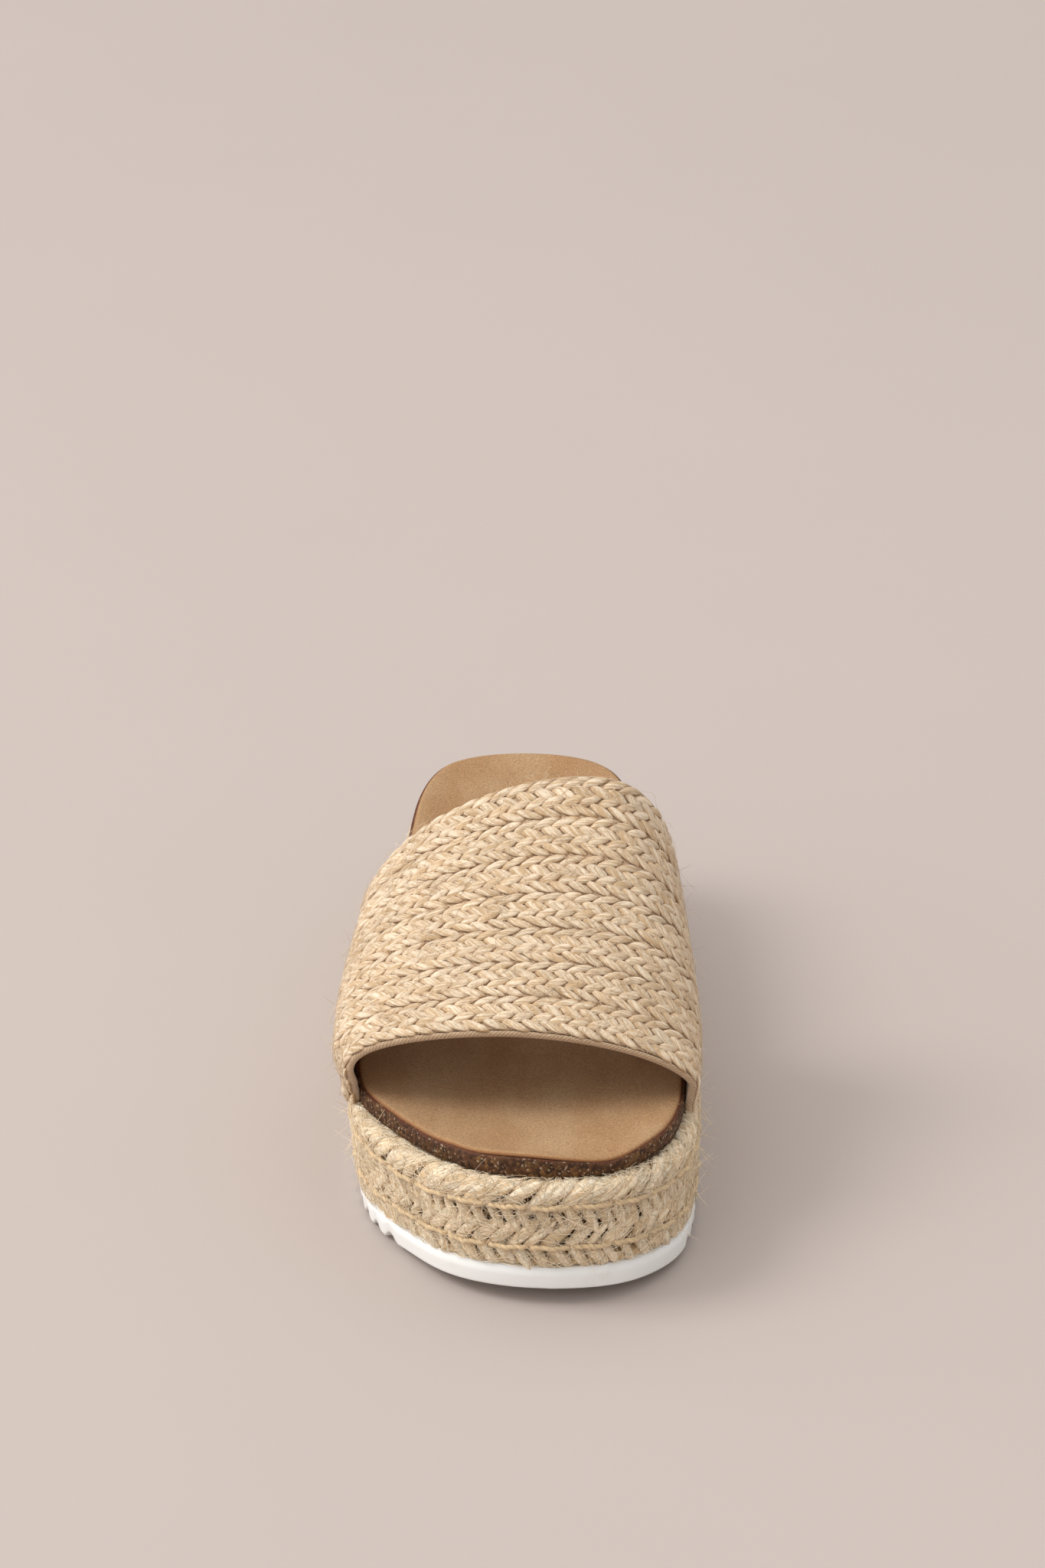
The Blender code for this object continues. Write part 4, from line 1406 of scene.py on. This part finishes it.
class ESPADRILLE_OT_wrap_stitches(Operator):
    """Twisted cord in running stitches along the middle of each plait.

    The cord dips under the strands once in each stitch, as a bell curve, and arches between dips as a cosine.
    """

    bl_idname = "espadrille.wrap_stitches"
    bl_label = "Wrap stitches"

    def execute(self, context):
        settings = context.scene.espadrille_wrap
        random = np.random.default_rng(12)
        count = round(LOOP_LENGTH / settings.stitch)
        u = np.linspace(0, 1, count * STITCH_POINTS, endpoint=False)
        stitches = u * count + STITCH_SWAY * np.sin(2 * np.pi * STITCH_SWAYS * u)
        phase = np.mod(stitches, 1.0)
        number = np.floor(np.mod(stitches, count)).astype(int)
        material = FINISHES.material("stitch_cord", yarn_material, settings.thread, settings.dark, fine=0.5,
                                     ply=0.8, mottle=0.12, bump=0.6, matting=0.0)
        for name, centre in STITCH_LINES.items():
            tilt = random.normal(0, STITCH_TILT, count + 1)[number]
            share = centre + drift(random, u, STITCH_WAVES, STITCH_DRIFT) + tilt * (phase - 0.5)
            dip = STITCH_DIP * swell(phase, 0.5, STITCH_DIP_REACH)
            arch = STITCH_ARCH * np.cos(4 * np.pi * phase)
            depth = STITCH_DEPTH - STITCH_FRONT_LIFT * frontness(u) + dip - arch
            point, normal = wall(turn_of(u * LOOP_LENGTH), share, depth)
            radius = settings.cord / 2
            points, quads, ends, marks = strands(
                point[None], normal[None], radius, radius, CORD_SIDES, CORD_TWIST, CORD_LOBES, True)
            marks["tone"] = np.ones(len(points))
            made = make_mesh("wrap_stitch_" + name, points, quads, ends, marks)
            dress(made, material, "jute_wrap", "midsole")
        return {"FINISHED"}


# Pieces of the band

# Plait's width in shares of its row, lean of its leaves, depth of the strands, and lift of the mirrored rows
PLAIT_SPREAD = 1.02
LEAF_LEAN = -0.15
BAND_DEPTH = 0.0010
BACK_WAY_LIFT = 0.0001

# Front row at the lateral foot: how far it draws forward, in shares of the band, and in, and its reach across
CORNER_FORWARD = 0.012
CORNER_DEPTH = 0.0004
CORNER_WRAP = 0.06

# A band leaf's ends: share of the width lost and its power, share of the thickness lost, and sinking in lifts
BAND_NARROWS = (0.84, 2.4)
BAND_FLATTENS = 0.45
BAND_SINKS = 2.2

# Unevenness of band leaves, as standard deviations: place in pitches, run, swing, place across, depth, width
BAND_UNEVEN = (0.03, 0.04, 0.03, 0.015, 0.00003, 0.04)

# Depth where the painted shade in the band's furrows starts, and over which it grows full
BAND_FURROW_SHADE_START = 0.00020
BAND_FURROW_SHADE_RUN = 0.00065

# Lining: thickness, gap from the band's edges to its inner rows and gap at its feet, as shares of the band,
# number of its inner rows, and number of its columns
LINING_THICKNESS = 0.0020
LINING_EDGE_GAP = 0.03
LINING_FOOT_GAP = 0.004
LINING_ROWS = 25
LINING_COLUMNS = 181

# Pleats of the lining near its feet: depth, radians over the way across, and reach
PLEAT_DEPTH = 0.00015
PLEAT_RATE = 900
PLEAT_REACH = 0.05

# Share of the way across the band in which leaves that run past a foot are drawn in
FOOT_CUT = 0.010


def within_feet(across):
    """Places across the band; past FOOT_CUT an exponential that never reaches the end draws them in."""
    low = FOOT_CUT * np.exp(np.minimum(across - FOOT_CUT, 0) / FOOT_CUT)
    high = 1 - FOOT_CUT * np.exp(np.minimum(1 - FOOT_CUT - across, 0) / FOOT_CUT)
    return np.where(across < FOOT_CUT, low, np.where(across > 1 - FOOT_CUT, high, across))


class ESPADRILLE_OT_band_braids(Operator):
    """Seven flat plaits sewn side by side over the instep, each of four rows of overlapping leaves.

    A leaf is the part of a strand that lies on top. It narrows as leaf_shape says and sinks by
    BAND_SINKS * t**4 of the lift, so that its pointed ends go under its neighbours.
    """

    bl_idname = "espadrille.band_braids"
    bl_label = "Band braids"

    def execute(self, context):
        settings = context.scene.espadrille_band
        random = np.random.default_rng(21)
        material = FINISHES.material("band_yarn", yarn_material, settings.light, settings.dark, fine=1.0,
                                     ply=0.22, mottle=0.12, bump=1.0, matting=0.25)
        reach = PLAIT_SPREAD / 2 / STRAP_BRAIDS
        t, taper, flatten = leaf_shape(BAND_NARROWS, BAND_FLATTENS)
        by_place, by_run, by_swing, by_across, by_depth, by_width = BAND_UNEVEN
        for braid in range(STRAP_BRAIDS):
            middle = (braid + 0.5) / STRAP_BRAIDS
            pitches = np.interp(middle, FACE_ALONG, FACE_RUN) / settings.leaf_pitch
            start = random.uniform(0, 1)
            columns = []
            for way in (1, -1):
                for shift, places, swing, share in LEAF_ROWS:
                    first = start + shift + (0 if way > 0 else 0.5)
                    centre = np.arange(-1, int(pitches) + 1)[:, None] + first
                    jitter = random.normal(0, 1, (6, len(centre), 1))
                    step = centre + by_place * jitter[0] + through_three(places, t) * (1 + by_run * jitter[1])
                    across = way * through_three(swing, t) * (1 + by_swing * jitter[2])
                    across = across + by_across * jitter[3]
                    u = within_feet((step + LEAF_LEAN * across) / pitches)
                    depth = BAND_DEPTH - settings.strand_lift * (1 - BAND_SINKS * t**4) + by_depth * jitter[4]
                    depth = depth - (0 if way > 0 else BACK_WAY_LIFT)
                    wide = share * taper * (1 + by_width * jitter[5])
                    along = middle + reach * across
                    # Outer row of the first plait, which is the band's front edge
                    if braid == 0 and way < 0 and share < 1:
                        wrapped = swell(u, 0.0, CORNER_WRAP)
                        along = along - CORNER_FORWARD * wrapped
                        depth = depth + CORNER_DEPTH * wrapped
                    columns.append((u, along, depth, wide))
            u, along, depth, wide = (np.concatenate(column) for column in zip(*columns))
            point, normal = face(along, u, depth)
            place = np.stack([u * pitches * settings.leaf_pitch, along * STRAP_LENGTH], -1)
            points, quads, ends, marks = strands(
                point, normal, settings.strand_width / 2 * wide, settings.strand_thickness / 2 * flatten,
                LEAF_SIDES, settings.yarn_twist, LEAF_LOBES, False,
                offset=random.uniform(0, YARN_STARTS, len(u)),
                spread=(place, face_axes(along, u, normal)))
            tone = np.repeat(1 + random.normal(0, LEAF_TONE_SPREAD, len(u)), LEAF_POINTS * LEAF_SIDES)
            # Painted shade: the deep attribute becomes the share of furrow tint, growing with depth under the
            # band's face
            under = marks["deep"] + np.repeat(depth, LEAF_SIDES)
            marks["deep"] = ease((under - BAND_FURROW_SHADE_START) / BAND_FURROW_SHADE_RUN)
            made = make_mesh(f"band_braid_{braid + 1}", points, quads, ends, {**marks, "tone": tone})
            dress(made, material, "jute_band", "upper")
        return {"FINISHED"}


class ESPADRILLE_OT_band_lining(Operator):
    """Cloth lining of the band, turned over its two edges and finely pleated, as a sine, near its feet"""

    bl_idname = "espadrille.band_lining"
    bl_label = "Band lining"

    def execute(self, context):
        settings = context.scene.espadrille_band
        edge = np.array(LINING_EDGE)
        front = np.stack([-edge[:, 0] / STRAP_LENGTH, edge[:, 1]], -1)
        back = np.stack([1 + edge[::-1, 0] / STRAP_LENGTH, edge[::-1, 1]], -1)
        middle = np.linspace(LINING_EDGE_GAP, 1 - LINING_EDGE_GAP, LINING_ROWS)
        inner = np.stack([middle, np.full(LINING_ROWS, edge[-1, 1])], -1)
        profile = np.concatenate([front, inner, back])
        across = np.linspace(LINING_FOOT_GAP, 1 - LINING_FOOT_GAP, LINING_COLUMNS)
        near_foot = np.minimum(across, 1 - across)
        pleat = PLEAT_DEPTH * np.sin(across * PLEAT_RATE) * swell(near_foot, 0.0, PLEAT_REACH)
        points, _ = face(profile[:, :1], across[None], profile[:, 1:] - pleat[None])
        rows, columns = points.shape[:2]
        quads = grid_quads(rows, columns)
        steps = np.linalg.norm(np.diff(points[:, columns // 2], axis=0), axis=1)
        run = np.concatenate([[0], np.cumsum(steps)])
        width = float(np.linalg.norm(np.diff(points[rows // 2], axis=0), axis=1).sum())
        weave = np.stack(np.broadcast_arrays(run[:, None], across[None] * width, 0.0), -1)
        made = make_mesh("band_lining", points.reshape(-1, 3), quads, (), {"weave": weave.reshape(-1, 3)})
        made.modifiers.new("Thickness", "SOLIDIFY").thickness = LINING_THICKNESS
        dress(made, FINISHES.material("lining_cloth", lining_material, settings.lining), "jute_band", "upper")
        return {"FINISHED"}


# Loose fibres

# Points along a fibre and round it, thickness left at its tip, bend of its heading, and power of its rise
FIBRE_POINTS = 6
FIBRE_SIDES = 3
FIBRE_TIP = 0.35
FIBRE_BEND = 0.9
FIBRE_RISE_POWER = 1.5

# Ranges that one fibre differs in from the next: size, tone, and share of light yarn
FIBRE_SIZES = (0.7, 1.25)
FIBRE_TONES = (0.78, 1.2)
FIBRE_SHADES = (0.3, 1.0)

# Kinds of fibres: range of their lengths, and range of their tips' rise
BAND_LYING = ((0.004, 0.011), (0.0001, 0.0006))
BAND_STANDING = ((0.004, 0.010), (0.0015, 0.0050))
WRAP_LYING = ((0.004, 0.014), (0.0001, 0.0006))
WRAP_STANDING = ((0.004, 0.011), (0.0015, 0.0060))

# Fibres of the band: how far they may pass its edges, and how far from its feet they start and end
BAND_FIBRE_PAST_EDGE = 0.02
BAND_FIBRE_START = 0.03
BAND_FIBRE_END = 0.01

# Radii of the fibres, shares of the wrap's height between which they start, where they turn back at its top,
# and how far they lie off its face
BAND_FIBRE_RADIUS = 0.00006
WRAP_FIBRE_RADIUS = 0.00009
WRAP_FIBRE_HEIGHTS = (0.02, 1.10)
WRAP_FIBRE_TOP = 1.12
WRAP_FIBRE_LIFT = 0.0003


def hair_tubes(name, centres, radius, random, material, slot):
    """Thin three-sided hairs along rows of centres, drawn out to FIBRE_TIP of their size."""
    count = len(centres)
    taper = np.linspace(1.0, FIBRE_TIP, FIBRE_POINTS)
    rough = unit(random.normal(size=(count, 1, 3)) + np.zeros(centres.shape))
    size = radius * random.uniform(*FIBRE_SIZES, (count, 1)) * taper
    points, quads, ends, _ = strands(centres, rough, size, size, FIBRE_SIDES, 1.0, 0.0, False)
    tone = np.repeat(random.uniform(*FIBRE_TONES, count), FIBRE_POINTS * FIBRE_SIDES)
    shade = np.repeat(random.uniform(*FIBRE_SHADES, count), FIBRE_POINTS * FIBRE_SIDES)
    made = make_mesh(name, points, quads, ends, {"tone": tone, "shade": shade})
    return dress(made, material, slot)


def lying(random, count, reach):
    """Steps of count fibres on a face: a random heading that bends, in metres along two directions."""
    t = np.linspace(0, 1, FIBRE_POINTS)
    heading = random.uniform(0, 2 * np.pi, (count, 1)) + random.normal(0, FIBRE_BEND, (count, 1)) * t
    size = random.uniform(*reach, (count, 1)) / (FIBRE_POINTS - 1)
    first = np.cumsum(np.cos(heading) * size, 1)
    second = np.cumsum(np.sin(heading) * size, 1)
    return first, second, t


class ESPADRILLE_OT_band_fibres(Operator):
    """Fibres that lie on the band and hairs that stand off it and off its edges.

    A fibre goes from a random place in steps whose heading bends, and rises by a power of its share.
    """

    bl_idname = "espadrille.band_fibres"
    bl_label = "Band fibres"

    def execute(self, context):
        settings = context.scene.espadrille_band
        random = np.random.default_rng(31)
        material = FINISHES.material("band_hair", plain_fibre_material, settings.light, settings.dark)
        groups = (("band_fibres", settings.fibres, *BAND_LYING),
                  ("band_hairs", settings.hairs, *BAND_STANDING))
        mean_run = float(FACE_RUN.mean())
        for name, count, reach, lift in groups:
            first, second, t = lying(random, count, reach)
            along = random.uniform(0.0, 1.0, (count, 1)) + second / STRAP_LENGTH
            along = np.clip(along, -BAND_FIBRE_PAST_EDGE, 1 + BAND_FIBRE_PAST_EDGE)
            across = random.uniform(BAND_FIBRE_START, 1 - BAND_FIBRE_START, (count, 1)) + first / mean_run
            across = np.clip(across, BAND_FIBRE_END, 1 - BAND_FIBRE_END)
            rise = random.uniform(*lift, (count, 1)) * t**FIBRE_RISE_POWER
            points, _ = face(along, across, -rise)
            hair_tubes(name, points, BAND_FIBRE_RADIUS, random, material, "jute_band")
        return {"FINISHED"}


class ESPADRILLE_OT_wrap_fibres(Operator):
    """Matted fibres over the wrap and hairs that stand off it, made as those of the band"""

    bl_idname = "espadrille.wrap_fibres"
    bl_label = "Wrap fibres"

    def execute(self, context):
        settings = context.scene.espadrille_wrap
        random = np.random.default_rng(41)
        material = FINISHES.material("wrap_hair", plain_fibre_material, settings.light, settings.dark)
        groups = (("wrap_fibres", settings.fibres, *WRAP_LYING),
                  ("wrap_hairs", settings.hairs, *WRAP_STANDING))
        for name, count, reach, lift in groups:
            first, second, t = lying(random, count, reach)
            run = random.uniform(0, LOOP_LENGTH, (count, 1)) + first
            share = random.uniform(*WRAP_FIBRE_HEIGHTS, (count, 1)) + second / WRAP_HEIGHT_HEEL
            share = WRAP_FIBRE_TOP - np.abs(WRAP_FIBRE_TOP - np.abs(share))
            rise = random.uniform(*lift, (count, 1)) * t**FIBRE_RISE_POWER
            points, _ = wall(turn_of(run), share, -WRAP_FIBRE_LIFT - rise)
            hair_tubes(name, points, WRAP_FIBRE_RADIUS, random, material, "jute_wrap")
        return {"FINISHED"}


# Stage

# Camera fitted to the photograph, in the tables' frame; its image is LONG_SIDE_PIXELS high
CAMERA_PLACE = (0.0, -1.185, 0.697)
CAMERA_PITCH_DEG = 24.7
FOCAL_PIXELS = 6664.0
LONG_SIDE_PIXELS = 2048.0
SENSOR = 36.0
CLIP_START = 0.05
FLOOR_SIZE = 24.0
FLOOR_POINTS = 9

# Soft round key light
KEY_PLACE = (-2.0, -0.15, 2.0)
KEY_TARGET = (0.0, 0.0, 0.04)
KEY_SIZE = 1.4
KEY_TINT = (1.0, 0.985, 0.96)

# Sky: strength all round, what is added overhead, and what the medial side loses and the lateral side gains
SKY_EVEN = 0.58
SKY_OVERHEAD = 0.72
SKY_SIDE = 0.30
SKY_TINT = (1.0, 0.985, 0.97, 1.0)


def area_light(name, place, target, size, power, tint):
    """Round lamp at a place, turned so that it shines at the target."""
    light = bpy.data.lights.new(name, "AREA")
    light.shape = "DISK"
    light.size = size
    light.energy = power
    light.color = tint
    made = bpy.data.objects.new(name, light)
    made.location = place
    made.rotation_euler = (Vector(target) - Vector(place)).to_track_quat("-Z", "Y").to_euler()
    bpy.context.scene.collection.objects.link(made)
    return made


class ESPADRILLE_OT_stage(Operator):
    """Plain floor, soft key light, graded sky and the camera.

    The sky's strength is an even part, plus a part times the height of a direction, less a part times its x.
    """

    bl_idname = "espadrille.stage"
    bl_label = "Stage"

    def execute(self, context):
        settings = context.scene.espadrille_stage
        steps = np.linspace(-FLOOR_SIZE / 2, FLOOR_SIZE / 2, FLOOR_POINTS)
        x, y = np.meshgrid(steps, steps, indexing="ij")
        points = np.stack([x, y, np.zeros(x.shape)], -1)
        floor = make_mesh("floor", points.reshape(-1, 3), grid_quads(FLOOR_POINTS, FLOOR_POINTS))
        floor.data.materials.append(FINISHES.material("floor", floor_material, settings.floor))
        area_light("key_light", KEY_PLACE, KEY_TARGET, KEY_SIZE, settings.key_power, KEY_TINT)
        world = bpy.data.worlds.new("studio")
        world.use_nodes = True
        background = world.node_tree.nodes["Background"]
        background.inputs["Color"].default_value = SKY_TINT
        nodes = Nodes(world.node_tree)
        way = nodes.add("ShaderNodeTexCoord").outputs["Generated"]
        way = nodes.add("ShaderNodeSeparateXYZ", None, Vector=way).outputs
        strength = nodes.maths("ADD", nodes.maths("MULTIPLY", way[2], settings.sky * SKY_OVERHEAD),
                               nodes.maths("MULTIPLY", way[0], -settings.sky * SKY_SIDE))
        strength = nodes.maths("MAXIMUM", nodes.maths("ADD", strength, settings.sky * SKY_EVEN), 0.0)
        world.node_tree.links.new(strength, background.inputs["Strength"])
        context.scene.world = world
        lens = bpy.data.cameras.new("camera")
        lens.sensor_width = SENSOR
        lens.lens = SENSOR * FOCAL_PIXELS / LONG_SIDE_PIXELS
        lens.clip_start = CLIP_START
        camera = bpy.data.objects.new("camera", lens)
        camera.location = Vector(CAMERA_PLACE) + Vector(SHIFT)
        camera.rotation_euler = (np.radians(90 - CAMERA_PITCH_DEG), 0.0, 0.0)
        context.scene.collection.objects.link(camera)
        context.scene.camera = camera
        context.scene.view_settings.view_transform = "Standard"
        return {"FINISHED"}


OPERATORS = (
    ESPADRILLE_OT_stage,
    ESPADRILLE_OT_outsole,
    ESPADRILLE_OT_wrap_core,
    ESPADRILLE_OT_wrap_braids,
    ESPADRILLE_OT_wrap_stitches,
    ESPADRILLE_OT_footbed,
    ESPADRILLE_OT_insole,
    ESPADRILLE_OT_band_braids,
    ESPADRILLE_OT_band_lining,
    ESPADRILLE_OT_band_fibres,
    ESPADRILLE_OT_wrap_fibres,
)
SETTINGS = {
    "espadrille_band": EspadrilleBand,
    "espadrille_wrap": EspadrilleWrap,
    "espadrille_sole": EspadrilleSole,
    "espadrille_stage": EspadrilleStage,
}


class ESPADRILLE_PT_sidebar(Panel):
    """Sizes, colours and pieces of the slide"""

    bl_idname = "ESPADRILLE_PT_sidebar"
    bl_label = "Espadrille slide"
    bl_space_type = "VIEW_3D"
    bl_region_type = "UI"
    bl_category = "Espadrille"

    def draw(self, context):
        for key, group in SETTINGS.items():
            box = self.layout.box()
            for name in group.__annotations__:
                box.prop(getattr(context.scene, key), name)
        for operator in OPERATORS:
            self.layout.operator(operator.bl_idname)


def register():
    """Adds the classes, and the settings to the scene."""
    for made in (*SETTINGS.values(), *OPERATORS, ESPADRILLE_PT_sidebar):
        bpy.utils.register_class(made)
    for key, group in SETTINGS.items():
        setattr(bpy.types.Scene, key, PointerProperty(type=group))


def unregister():
    """Takes the settings and the classes away again, in the opposite order."""
    for key in SETTINGS:
        delattr(bpy.types.Scene, key)
    for made in (ESPADRILLE_PT_sidebar, *reversed(OPERATORS), *reversed(SETTINGS.values())):
        bpy.utils.unregister_class(made)


def main():
    """Makes every piece in order."""
    register()
    for operator in OPERATORS:
        group, name = operator.bl_idname.split(".")
        getattr(getattr(bpy.ops, group), name)()


if __name__ == "__main__":
    main()
